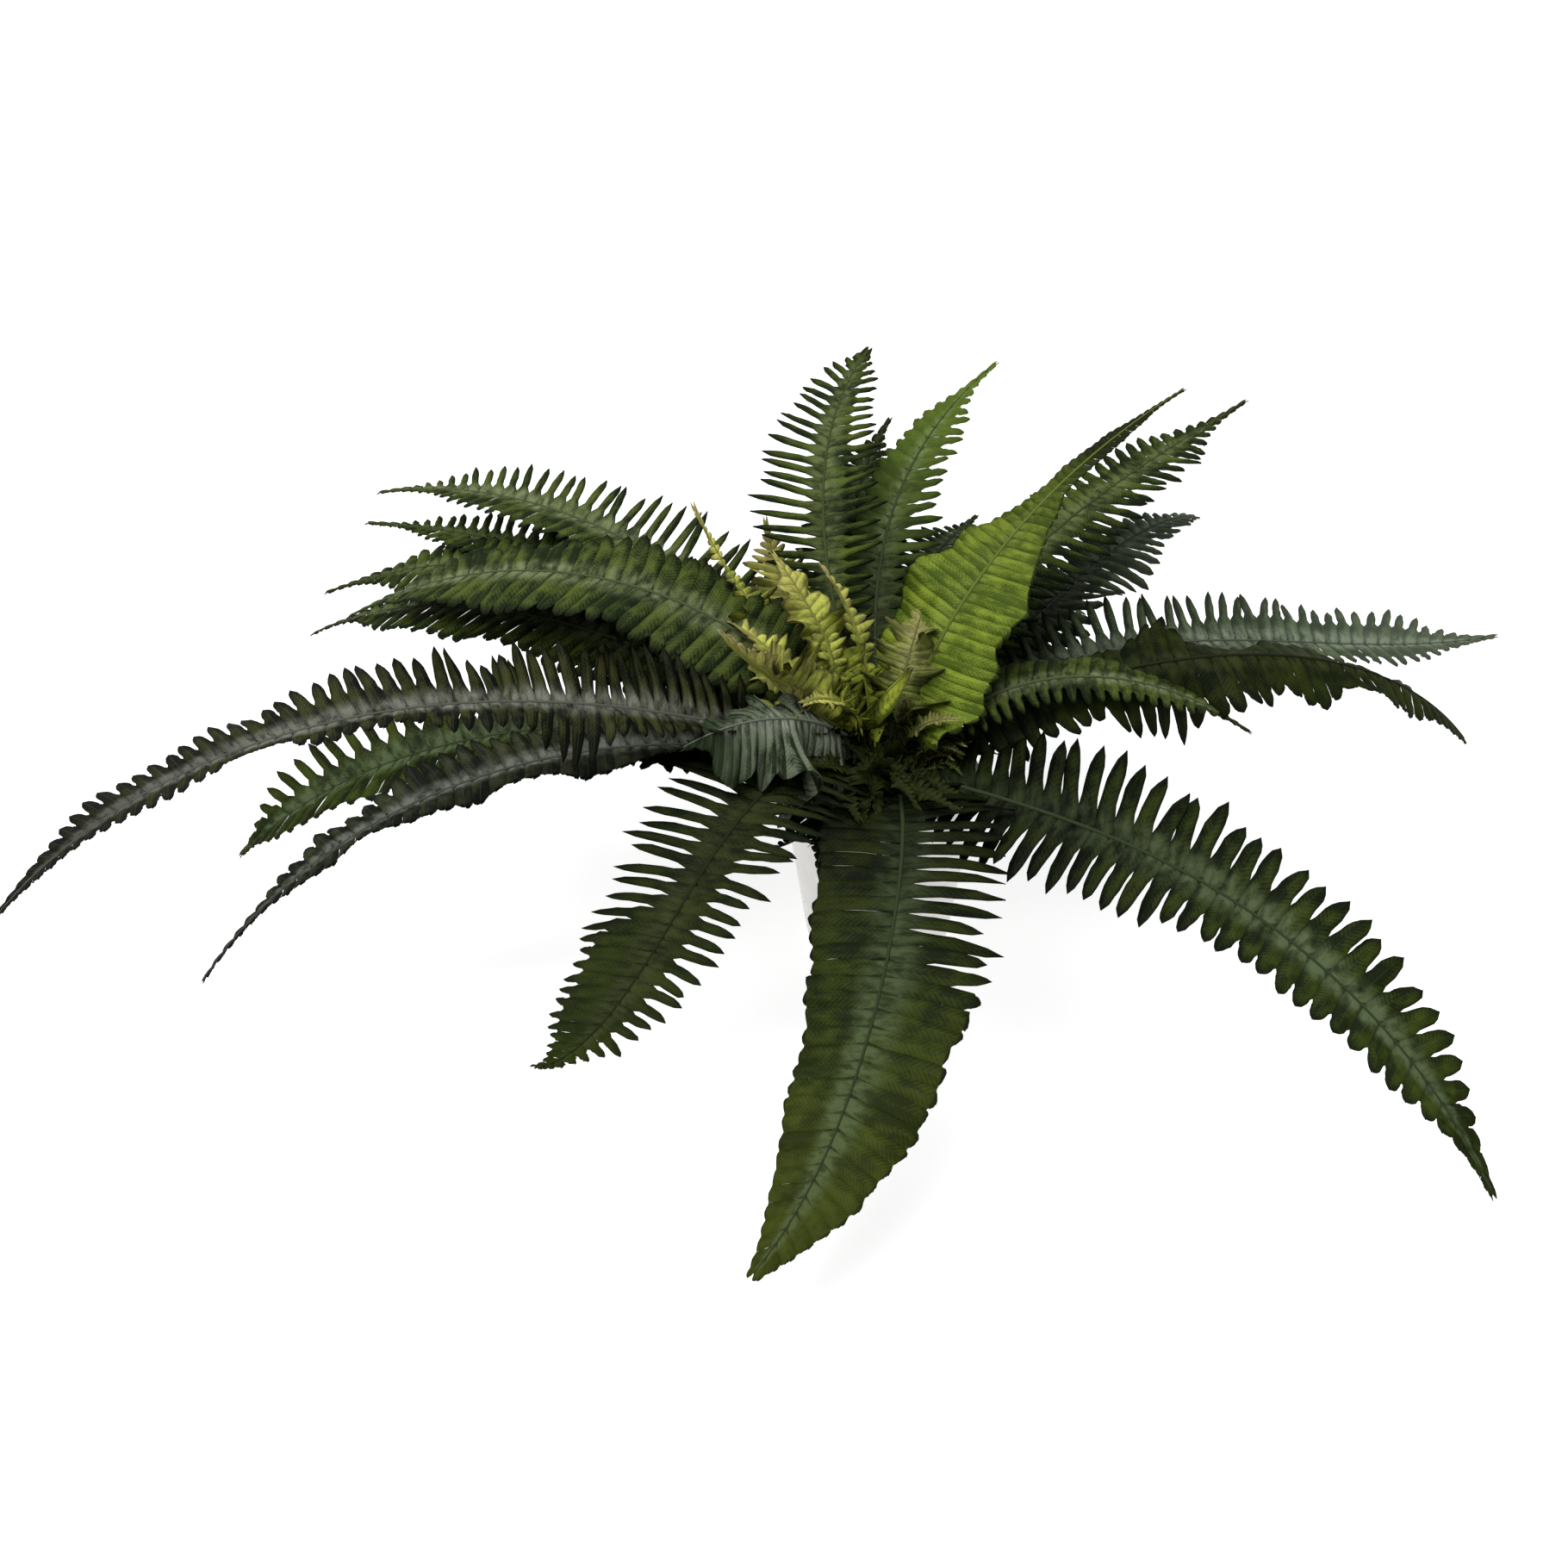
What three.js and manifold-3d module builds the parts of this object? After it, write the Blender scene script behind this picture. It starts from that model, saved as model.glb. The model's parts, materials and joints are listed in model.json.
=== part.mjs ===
// Potted fern: a plain glazed pot, its soil, a scaly crown and arching pinnate fronds.
// Millimetres, +Z up. The origin is the centre of the pot's flat underside and -Y is the front.
import * as THREE from 'three';
import Module from 'manifold-3d';
import { mergeVertices } from 'three/addons/utils/BufferGeometryUtils.js';

const wasm = await Module();
wasm.setup();

// ---- driving dimensions ----
const CLEARANCE = 0.3; // gap kept between pieces that rest on each other
const ROUND_SEGMENTS = 40; // facets round the pot and the soil

const POT_BASE_RADIUS = 42;
const POT_RIM_RADIUS = 60;
const POT_HEIGHT = 108;
const POT_RIM_BAND = 15; // height of the thicker band at the mouth
const POT_WALL = 3.8;
const POT_FLOOR = 7;
const DRAIN_HOLES = 4;
const DRAIN_HOLE_RADIUS = 4;
const DRAIN_HOLE_CIRCLE = 22;

const SOIL_TOP = 100;
const SOIL_LUMPS = 1.6; // height of the clods towards the pot's wall
const SOIL_FLAT_RADIUS = 29;

const CROWN_SEGMENTS = 28;
const CROWN_HEIGHT = 23; // from the soil to the top of the dome
const CROWN_RADIUS = 26;
const CROWN_LUMPS = 0.9;

const STIPE_RADIUS = 1.5; // the bare stalk of a frond
const STIPE_DEPTH = 6; // length of stalk that stands in its hole in the crown
const RIB_HALF_HEIGHT = 1.1; // half thickness of the blade at its midrib
const BLADE_HALF = 0.5; // half thickness of the leaflets
const NOTCH_MIN = 2.2; // distance from the midrib to the cut between two leaflets
const SHOULDER_OUT = 0.74; // where a leaflet starts to narrow, for its length
const SHOULDER_LEAN = 0.06; // how far its shoulder and its tip point forward, for the leaflets' pitch
const TIP_LEAN = 0.62;
const LEAFLET_ARCH = 0.14; // how far a leaflet's tip droops, for its length
const KEEP_CLEAR = 0.7; // free space kept round a leaflet
const FLOOR_CLEARANCE = 3;

// Each frond: ring and seat place its foot on the crown (mm from the axis, degrees), heading and
// swing turn it (degrees from +X), rise, crest and fall are its slope at the foot, middle and tip.
// half is its longest leaflet and lift raises them, both as [left, right] of the midrib. web is how
// much of a leaflet is joined into the blade and bare the stalk's share. tail, if given, is how much
// narrower the outer half of the blade is.
const FRONDS = [
  { name: 'frond_front', ring: 21, seat: 288, heading: 276, swing: -38, length: 372,
    rise: 24, crest: -24, fall: -6, half: [57, 43], pairs: 17, web: 0.45, lift: [4, 10], bare: 0.07 },
  { name: 'frond_front_right', ring: 21, seat: 318, heading: 316, swing: -7, length: 437,
    rise: 9, crest: -4, fall: -50, half: [54, 46], pairs: 19, web: 0.06, lift: [24, -16], bare: 0.06 },
  { name: 'frond_front_left', ring: 21, seat: 232, heading: 226, swing: 15, length: 316,
    rise: 54, crest: -33, fall: 34, half: [46, 50], pairs: 15, web: 0.08, lift: [4, 22], bare: 0.06 },
  { name: 'frond_inner_front', ring: 13, seat: 250, heading: 215, swing: -10, length: 142,
    rise: 60, crest: 20, fall: -20, half: [42, 24], pairs: 8, web: 0.3, lift: [-30, 12], bare: 0.14 },
  { name: 'frond_left_long', ring: 13, seat: 208, heading: 206, swing: -6, length: 525,
    rise: 28, crest: 7, fall: -46, half: [20, 32], pairs: 21, web: 0.12, lift: [0, 40], bare: 0.1 },
  { name: 'frond_left_1', ring: 13, seat: 138, heading: 142, swing: 4, length: 400,
    rise: 41, crest: 9, fall: -20, half: [40, 44], pairs: 17, web: 0.08, lift: [6, 32], bare: 0.1 },
  { name: 'frond_left_2', ring: 21, seat: 150, heading: 147, swing: -4, length: 388,
    rise: 38, crest: 5, fall: -13, half: [40, 42], pairs: 16, web: 0.08, lift: [6, 28], bare: 0.1 },
  { name: 'frond_left_3', ring: 13, seat: 158, heading: 153, swing: -5, length: 416,
    rise: 46, crest: -2, fall: -29, half: [40, 40], pairs: 16, web: 0.3, lift: [-8, 24], bare: 0.1 },
  { name: 'frond_left_4', ring: 13, seat: 178, heading: 163, swing: -14, length: 388,
    rise: 60, crest: -1, fall: -35, half: [44, 40], pairs: 15, web: 0.35, lift: [-4, 20], bare: 0.12 },
  { name: 'frond_left_5', ring: 21, seat: 168, heading: 159, swing: -10, length: 390,
    rise: 28, crest: 1, fall: -34, half: [42, 40], pairs: 15, web: 0.35, lift: [2, 16], bare: 0.08 },
  { name: 'frond_left_6', ring: 21, seat: 186, heading: 184, swing: -7, length: 382,
    rise: 21, crest: -8, fall: -47, half: [38, 46], pairs: 16, web: 0.07, lift: [6, 30], bare: 0.08 },
  { name: 'frond_left_7', ring: 21, seat: 206, heading: 194, swing: 4, length: 415,
    rise: 24, crest: -10, fall: -54, half: [18, 28], pairs: 16, web: 0.25, lift: [14, 20], bare: 0.08 },
  { name: 'frond_right_1', ring: 21, seat: 26, heading: 21, swing: -4, length: 400,
    rise: 42, crest: -8, fall: 2, half: [50, 34], pairs: 17, web: 0.12, lift: [26, -6], bare: 0.09 },
  { name: 'frond_right_2', ring: 21, seat: 8, heading: -1, swing: 35, length: 406,
    rise: 39, crest: -7, fall: -50, half: [42, 46], pairs: 16, web: 0.34, lift: [0, -30], bare: 0.1 },
  { name: 'frond_right_3', ring: 21, seat: 350, heading: 358, swing: 8, length: 225,
    rise: 68, crest: 1, fall: -38, half: [38, 34], pairs: 11, web: 0.1, lift: [10, -30], bare: 0.12 },
  { name: 'frond_upper_1', ring: 13, seat: 34, heading: 35, swing: 14, length: 306,
    rise: 76, crest: 30, fall: 4, half: [32, 36], pairs: 14, web: 0.4, lift: [14, 6], bare: 0.1, tail: 0.72 },
  { name: 'frond_upper_2', ring: 13, seat: 58, heading: 48, swing: -3, length: 364,
    rise: 50, crest: 14, fall: 8, half: [34, 38], pairs: 15, web: 0.1, lift: [12, 4], bare: 0.1 },
  { name: 'frond_upper_3', ring: 21, seat: 44, heading: 42, swing: 10, length: 295,
    rise: 22, crest: 16, fall: -21, half: [34, 36], pairs: 12, web: 0.1, lift: [14, 4], bare: 0.1 },
  { name: 'frond_top_1', ring: 6, seat: 150, heading: 121, swing: -58, length: 290,
    rise: 56, crest: 33, fall: 15, half: [42, 36], pairs: 14, web: 0.08, lift: [14, 14], bare: 0.1 },
  { name: 'frond_top_2', ring: 6, seat: 60, heading: 103, swing: -58, length: 297,
    rise: 48, crest: 28, fall: 18, half: [40, 36], pairs: 14, web: 0.12, lift: [14, 14], bare: 0.1 },
  { name: 'frond_top_3', ring: 13, seat: 78, heading: 80, swing: -12, length: 252,
    rise: 60, crest: 3, fall: -6, half: [34, 34], pairs: 11, web: 0.12, lift: [14, 14], bare: 0.12 },
  { name: 'frond_top_4', ring: 13, seat: 100, heading: 109, swing: -42, length: 248,
    rise: 52, crest: 27, fall: 12, half: [34, 34], pairs: 11, web: 0.1, lift: [14, 14], bare: 0.12 },
  { name: 'young_frond_1', ring: 6, seat: 210, heading: 144, swing: -10, length: 180,
    rise: 42, crest: 36, fall: 55, half: [22, 22], pairs: 10, web: 0.2, lift: [16, 16], bare: 0.24 },
  { name: 'young_frond_2', ring: 13, seat: 119, heading: 130, swing: -12, length: 150,
    rise: 40, crest: 38, fall: 70, half: [20, 20], pairs: 9, web: 0.2, lift: [16, 16], bare: 0.24 },
  { name: 'young_frond_3', ring: 6, seat: 330, heading: 66, swing: 4, length: 96,
    rise: 75, crest: 50, fall: 30, half: [18, 18], pairs: 7, web: 0.2, lift: [14, 14], bare: 0.3 },
  { name: 'frond_back_1', ring: 21, seat: 63, heading: 62, swing: 0, length: 325,
    rise: 38, crest: -12, fall: -62, half: [38, 38], pairs: 13, web: 0.12, lift: [10, 10], bare: 0.15 },
  { name: 'frond_back_2', ring: 21, seat: 81, heading: 80, swing: 0, length: 315,
    rise: 36, crest: -14, fall: -60, half: [38, 38], pairs: 13, web: 0.12, lift: [10, 10], bare: 0.15 },
  { name: 'frond_back_3', ring: 21, seat: 100, heading: 99, swing: 0, length: 330,
    rise: 38, crest: -14, fall: -60, half: [38, 38], pairs: 13, web: 0.12, lift: [10, 10], bare: 0.15 },
  { name: 'frond_back_4', ring: 21, seat: 122, heading: 121, swing: 0, length: 315,
    rise: 36, crest: -12, fall: -62, half: [38, 38], pairs: 13, web: 0.12, lift: [10, 10], bare: 0.15 },
];

// ---- materials ----
const GLAZE = new THREE.MeshStandardMaterial({ color: 0xecebe6, roughness: 0.3, metalness: 0 });
const SOIL = new THREE.MeshStandardMaterial({ color: 0x2a1f17, roughness: 0.95, metalness: 0 });
const SCALES = new THREE.MeshStandardMaterial({ color: 0x4a3522, roughness: 0.9, metalness: 0 });
const LEAF = new THREE.MeshStandardMaterial({ color: 0x4f6b3a, roughness: 0.6, metalness: 0 });
const YOUNG_LEAF = new THREE.MeshStandardMaterial({ color: 0x8f9a4a, roughness: 0.6, metalness: 0 });

// ---- small helpers ----
const radians = THREE.MathUtils.degToRad;
const UP = new THREE.Vector3(0, 0, 1);

/** A repeatable random number from 0 to 1 for a pair of whole numbers. */
function random(seed, index) {
  const wave = Math.sin(seed * 127.1 + index * 311.7) * 43758.5453;
  return wave - Math.floor(wave);
}

/** a + the sum of the given [direction, distance] steps. */
function offset(a, ...steps) {
  const point = a.clone();
  for (const [direction, distance] of steps) point.addScaledVector(direction, distance);
  return point;
}

/** The height of the crown's dome at a distance from its axis. */
function crownHeight(radius) {
  return SOIL_TOP + CROWN_HEIGHT * Math.sqrt(Math.max(0, 1 - (radius / (CROWN_RADIUS + 2)) ** 2.6));
}

/** A solid from corner points and triangles. */
function solidOf(points, triangles) {
  const vertProperties = new Float32Array(points.flatMap((p) => [p.x, p.y, p.z]));
  const triVerts = new Uint32Array(triangles);
  return new wasm.Manifold(new wasm.Mesh({ numProp: 3, vertProperties, triVerts }));
}

/** The solid of a closed three.js geometry. */
function solidOfGeometry(geometry) {
  const bare = geometry.index ? geometry.clone() : geometry;
  bare.deleteAttribute('normal');
  bare.deleteAttribute('uv');
  const merged = mergeVertices(bare, 1e-3);
  const vertProperties = new Float32Array(merged.attributes.position.array);
  const index = [];
  for (let i = 0; i < merged.index.count; i += 3) {
    const corner = [merged.index.getX(i), merged.index.getX(i + 1), merged.index.getX(i + 2)];
    if (new Set(corner).size === 3) index.push(...corner);
  }
  const triVerts = new Uint32Array(index);
  return new wasm.Manifold(new wasm.Mesh({ numProp: 3, vertProperties, triVerts }));
}

/** A three.js geometry of a solid. */
function geometryOfSolid(solid) {
  const mesh = solid.getMesh();
  const geometry = new THREE.BufferGeometry();
  geometry.setAttribute('position', new THREE.BufferAttribute(mesh.vertProperties, 3));
  geometry.setIndex(new THREE.BufferAttribute(mesh.triVerts, 1));
  geometry.computeVertexNormals();
  return geometry;
}

/** A turned solid about Z from [radius, height] pairs, with an optional lift of each vertex. */
function turned(profile, segments, shape = () => [1, 0]) {
  const points = profile.map(([radius, height]) => new THREE.Vector2(radius, height));
  const geometry = new THREE.LatheGeometry(points, segments);
  geometry.rotateX(Math.PI / 2);
  const position = geometry.attributes.position;
  for (let i = 0; i < position.count; i++) {
    const x = position.getX(i);
    const y = position.getY(i);
    const turn = Math.round((Math.atan2(y, x) / (2 * Math.PI)) * segments + segments) % segments;
    const [scale, lift] = shape(Math.hypot(x, y), position.getZ(i), turn);
    position.setXYZ(i, x * scale, y * scale, position.getZ(i) + lift);
  }
  return solidOfGeometry(geometry);
}

// ---- pot, soil and crown ----
function potRadius(height) {
  const wallTop = POT_HEIGHT - POT_RIM_BAND;
  return POT_BASE_RADIUS + ((POT_RIM_RADIUS - 4 - POT_BASE_RADIUS) * height) / wallTop;
}

function makePot() {
  const bandFoot = POT_HEIGHT - POT_RIM_BAND;
  const inner = (height) => potRadius(height) - POT_WALL;
  let pot = turned([
    [0, 0], [POT_BASE_RADIUS - 2, 0], [potRadius(2), 2], [potRadius(bandFoot), bandFoot],
    [POT_RIM_RADIUS - 0.8, bandFoot + 1.2], [POT_RIM_RADIUS, bandFoot + 3],
    [POT_RIM_RADIUS, POT_HEIGHT - 2], [POT_RIM_RADIUS - 1.6, POT_HEIGHT],
    [inner(POT_HEIGHT) + 1.2, POT_HEIGHT], [inner(POT_HEIGHT), POT_HEIGHT - 1.5],
    [inner(POT_FLOOR), POT_FLOOR], [0, POT_FLOOR],
  ], ROUND_SEGMENTS);
  for (let i = 0; i < DRAIN_HOLES; i++) {
    const turn = (2 * Math.PI * (i + 0.5)) / DRAIN_HOLES;
    const hole = new THREE.CylinderGeometry(DRAIN_HOLE_RADIUS, DRAIN_HOLE_RADIUS, POT_FLOOR + 4, 14);
    hole.rotateX(Math.PI / 2);
    hole.translate(DRAIN_HOLE_CIRCLE * Math.cos(turn), DRAIN_HOLE_CIRCLE * Math.sin(turn), POT_FLOOR / 2);
    pot = pot.subtract(solidOfGeometry(hole));
  }
  return pot;
}

function makeSoil() {
  const wall = (height) => potRadius(height) - POT_WALL - CLEARANCE;
  const bottom = POT_FLOOR + CLEARANCE;
  const edge = SOIL_TOP - 4;
  const profile = [[0, bottom], [wall(POT_FLOOR), bottom], [wall(edge), edge]];
  for (const radius of [49, 43, 36]) {
    profile.push([radius, SOIL_TOP - ((radius - SOIL_FLAT_RADIUS) / 12) ** 1.5]);
  }
  profile.push([SOIL_FLAT_RADIUS, SOIL_TOP], [0, SOIL_TOP]);
  return turned(profile, ROUND_SEGMENTS, (radius, height, turn) => {
    const clod = radius > SOIL_FLAT_RADIUS + 2 && radius < 50 && height > SOIL_TOP - 8;
    return [1, clod ? SOIL_LUMPS * (random(turn, Math.round(radius)) - 0.7) : 0];
  });
}

function makeCrown(fronds) {
  const foot = SOIL_TOP + CLEARANCE;
  const profile = [[0, foot], [CROWN_RADIUS, foot]];
  for (const radius of [25, 23, 20, 16, 11, 5]) profile.push([radius, crownHeight(radius)]);
  profile.push([0, crownHeight(0)]);
  let crown = turned(profile, CROWN_SEGMENTS, (radius, height, turn) => {
    const lumpy = height > foot + 1 && radius > 4;
    const lump = lumpy ? CROWN_LUMPS * (random(turn, Math.round(height)) - 0.5) : 0;
    return [1 + lump / 12, lump * 0.6];
  });
  for (const frond of fronds) crown = crown.subtract(frond.socket);
  return crown;
}

// ---- fronds ----
/** Points and directions along a frond's midrib, evenly spaced from foot to tip. */
function midrib(frond, count) {
  const { ring, rise, crest, fall } = frond;
  const seat = radians(frond.seat);
  const foot = new THREE.Vector3(ring * Math.cos(seat), ring * Math.sin(seat), crownHeight(ring));
  const direction = (t) => {
    const slope = radians(rise * (1 - t) * (1 - 2 * t) + crest * 4 * t * (1 - t) + fall * t * (2 * t - 1));
    const turn = radians(frond.heading + frond.swing * t);
    const level = Math.cos(slope);
    return new THREE.Vector3(level * Math.cos(turn), level * Math.sin(turn), Math.sin(slope));
  };
  const points = [foot];
  for (let i = 0; i < count; i++) {
    points.push(offset(points[i], [direction((i + 0.5) / count), frond.length / count]));
  }
  return { points, direction };
}

/** A side's value from a [left, right] pair; side is 1 on the left and -1 on the right. */
const onSide = (pair, side) => pair[side > 0 ? 0 : 1];

/** The length of a side's leaflets at s, from 0 at the first pair to 1 at the tip. */
function leafletLength(frond, side, s) {
  const swell = Math.min(1, 0.62 + 2.2 * s);
  const narrowing = 1 - (frond.tail ?? 0) * THREE.MathUtils.smoothstep(s, 0.25, 0.6);
  return onSide(frond.half, side) * (swell * narrowing * (1 - s ** 2.3) ** 0.8 + 0.07);
}

/** The stations of a frond: its stalk in the crown, the bare stalk, then one notch per leaflet. */
function stations(frond) {
  const steps = frond.pairs * 12;
  const { points, direction } = midrib(frond, steps);
  const at = (t, kind, s = 0) => {
    const place = Math.min(t, 1) * steps;
    const low = Math.min(Math.floor(place), steps - 1);
    const centre = points[low].clone().lerp(points[low + 1], place - low);
    const along = direction(t);
    const left = UP.clone().cross(along).normalize();
    const up = along.clone().cross(left);
    return { centre, along, left, up, kind, s };
  };
  const list = [];
  const foot = at(0, 'stalk');
  list.push({ ...foot, centre: offset(foot.centre, [foot.along, -STIPE_DEPTH]) });
  list.push(foot, at(frond.bare * 0.5, 'stalk'));
  for (let k = 0; k <= frond.pairs; k++) {
    const s = k / frond.pairs;
    list.push(at(frond.bare + (1 - frond.bare) * s, 'blade', s));
  }
  return list;
}

/** The six corners round the midrib at a station: left, middle and right, above and below. */
function ringCorners(frond, station, extra = 0) {
  const { centre, left, up, kind, s } = station;
  if (kind === 'stalk') {
    const r = STIPE_RADIUS + extra;
    return [[0.87, 0.5], [0, 1], [-0.87, 0.5], [-0.87, -0.5], [0, -1], [0.87, -0.5]].map(([a, b]) => (
      offset(centre, [left, a * r], [up, b * r])));
  }
  const web = frond.web * Math.min(1, 3.2 * s);
  const tip = 1 - 0.55 * s;
  const edge = BLADE_HALF + extra;
  const middle = RIB_HALF_HEIGHT * tip + extra;
  const notch = (side, height) => {
    const reach = Math.max(NOTCH_MIN * tip, web * leafletLength(frond, side, s)) + extra;
    const lift = radians(onSide(frond.lift, side));
    return offset(centre, [left, side * reach * Math.cos(lift)], [up, reach * Math.sin(lift) + height]);
  };
  return [notch(1, edge), offset(centre, [up, middle]), notch(-1, edge),
    notch(-1, -edge), offset(centre, [up, -middle]), notch(1, -edge)];
}

/** A leaflet's outline between two notches: root, shoulder, tip and root, on the blade's middle. */
function leafletOutline(frond, from, to, side, bend, size) {
  const a = ringCorners(frond, from);
  const b = ringCorners(frond, to);
  const [above, below] = side > 0 ? [0, 5] : [2, 3];
  const rootA = a[above].clone().add(a[below]).multiplyScalar(0.5);
  const rootB = b[above].clone().add(b[below]).multiplyScalar(0.5);
  const length = leafletLength(frond, side, (from.s + to.s) / 2);
  const reach = Math.max(2, length * size - rootA.distanceTo(from.centre));
  const lift = radians(onSide(frond.lift, side) + bend);
  const { left, up, along } = from;
  const outward = offset(new THREE.Vector3(), [left, side * Math.cos(lift)], [up, Math.sin(lift)]);
  const pitch = rootA.distanceTo(rootB);
  const shoulder = offset(rootA, [outward, SHOULDER_OUT * reach], [along, SHOULDER_LEAN * pitch]);
  const tip = offset(rootA, [outward, reach], [along, TIP_LEAN * pitch], [up, -LEAFLET_ARCH * reach]);
  return { outline: [rootA, shoulder, tip, rootB], up };
}

/** The faces of a strip of leaflet between its outline's upper and lower corners. */
const LEAFLET_FACES = [[0, 1, 2], [0, 2, 3], [4, 6, 5], [4, 7, 6],
  [0, 4, 5], [0, 5, 1], [1, 5, 6], [1, 6, 2], [2, 6, 7], [2, 7, 3]];

/** A leaflet and the free space round it, as a closed solid to test against its neighbours. */
function leafletSpace({ outline, up }, side) {
  const half = BLADE_HALF + KEEP_CLEAR;
  const points = [half, -half].flatMap((height) => outline.map((p) => offset(p, [up, height])));
  const faces = [...LEAFLET_FACES, [3, 7, 4], [3, 4, 0]].flatMap(([p, q, r]) => (
    side > 0 ? [p, r, q] : [p, q, r]));
  return { box: new THREE.Box3().setFromPoints(points), points, faces };
}

/** The space along the midrib between two stations, as a closed solid. */
function ribSpace(frond, from, to) {
  const points = [...ringCorners(frond, from, KEEP_CLEAR), ...ringCorners(frond, to, KEEP_CLEAR)];
  const faces = [];
  for (let i = 0; i < 6; i++) {
    const j = (i + 1) % 6;
    faces.push(i, j, 6 + j, i, 6 + j, 6 + i);
  }
  for (let i = 1; i < 5; i++) faces.push(0, i + 1, i, 6, 6 + i, 7 + i);
  return { box: new THREE.Box3().setFromPoints(points), points, faces };
}

const solidOfSpace = (space) => (space.solid ??= solidOf(space.points, space.faces));

function meets(space, other) {
  if (!space.box.intersectsBox(other.box)) return false;
  return solidOfSpace(space).intersect(solidOfSpace(other)).getMesh().triVerts.length > 0;
}

/** Ways to set a leaflet that would cross a neighbour: bent up or down (degrees), then shorter. */
const LEAFLET_TRIES = [[0, 1], [16, 1], [-16, 1], [32, 0.95], [-32, 0.95], [0, 0.7], [24, 0.7],
  [-24, 0.7], [44, 0.75], [-44, 0.75], [0, 0.45], [30, 0.45], [-30, 0.45]];

/** Sets every leaflet of a frond clear of the other fronds, the pot and the floor. */
function setLeaflets(frond, taken) {
  const leaflets = [];
  const own = [];
  for (let k = 3; k < frond.stations.length - 1; k++) {
    for (const side of [1, -1]) {
      const from = frond.stations[k];
      const to = frond.stations[k + 1];
      const spread = 5 * (random(frond.length + side, k) - 0.5);
      let chosen = null;
      for (const [bend, size] of LEAFLET_TRIES) {
        const leaflet = leafletOutline(frond, from, to, side, bend + spread, size);
        const space = leafletSpace(leaflet, side);
        if (space.box.min.z < FLOOR_CLEARANCE) continue;
        if (taken.some((other) => other.frond !== frond.name && meets(space, other))) continue;
        chosen = leaflet;
        own.push({ ...space, frond: frond.name });
        break;
      }
      leaflets.push({ k, side, leaflet: chosen });
    }
  }
  taken.push(...own);
  return leaflets;
}

/** The body of a frond: rings along the midrib, joined, with each leaflet growing from its notches. */
function makeFrond(frond) {
  const points = [];
  const faces = [];
  for (const station of frond.stations) points.push(...ringCorners(frond, station));
  const last = frond.stations.length - 1;
  const grown = new Map(frond.leaflets.map(({ k, side, leaflet }) => [`${k}/${side}`, leaflet]));
  for (let k = 0; k < last; k++) {
    const a = 6 * k;
    const b = a + 6;
    for (const i of [0, 1, 3, 4]) faces.push(a + i, a + i + 1, b + i + 1, a + i, b + i + 1, b + i);
    for (const side of [1, -1]) {
      const [above, below] = side > 0 ? [0, 5] : [2, 3];
      const leaflet = grown.get(`${k}/${side}`);
      if (!leaflet) {
        const quad = side > 0 ? [below, above] : [above, below];
        faces.push(a + quad[0], a + quad[1], b + quad[1], a + quad[0], b + quad[1], b + quad[0]);
        continue;
      }
      const { outline, up } = leaflet;
      const start = points.length;
      for (const half of [BLADE_HALF, -BLADE_HALF]) {
        points.push(offset(outline[1], [up, half]), offset(outline[2], [up, half]));
      }
      const corner = [a + above, start, start + 1, b + above, a + below, start + 2, start + 3, b + below];
      for (const face of LEAFLET_FACES) {
        const [p, q, r] = face.map((i) => corner[i]);
        faces.push(...(side > 0 ? [p, r, q] : [p, q, r]));
      }
    }
  }
  const end = 6 * last;
  for (let i = 1; i < 5; i++) faces.push(0, i + 1, i, end, end + i, end + i + 1);
  return solidOf(points, faces);
}

/** The hole that a frond's stalk stands in. */
function makeSocket(frond) {
  const [foot, surface] = frond.stations;
  const clear = CLEARANCE / 0.85;
  const bottom = { ...foot, centre: offset(foot.centre, [foot.along, -CLEARANCE]) };
  const mouth = { ...surface, centre: offset(surface.centre, [surface.along, 12]) };
  const points = [...ringCorners(frond, bottom, clear), ...ringCorners(frond, mouth, clear)];
  return solidOf(points, ribSpace(frond, foot, surface).faces);
}

function makeFronds() {
  const fronds = FRONDS.map((frond) => ({ ...frond, stations: stations(frond) }));
  const taken = [];
  for (const frond of fronds) {
    frond.socket = makeSocket(frond);
    for (let k = 0; k < frond.stations.length - 1; k++) {
      taken.push({ ...ribSpace(frond, frond.stations[k], frond.stations[k + 1]), frond: frond.name });
    }
  }
  for (const frond of fronds) frond.leaflets = setLeaflets(frond, taken);
  return fronds;
}

// ---- assembly ----
const group = new THREE.Group();

function place(name, solid, material) {
  const mesh = new THREE.Mesh(geometryOfSolid(solid), material);
  mesh.name = name;
  group.add(mesh);
}

const fronds = makeFronds();
place('pot', makePot(), GLAZE);
place('soil', makeSoil(), SOIL);
place('crown', makeCrown(fronds), SCALES);
for (const frond of fronds) {
  place(frond.name, makeFrond(frond), frond.name.startsWith('young') ? YOUNG_LEAF : LEAF);
}

export default group;
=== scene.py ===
"""Potted fern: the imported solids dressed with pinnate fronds, a scaly crown, soil and a glazed pot."""
import json
import math
import random

import bmesh
import bpy
from mathutils import Matrix, Vector

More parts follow.
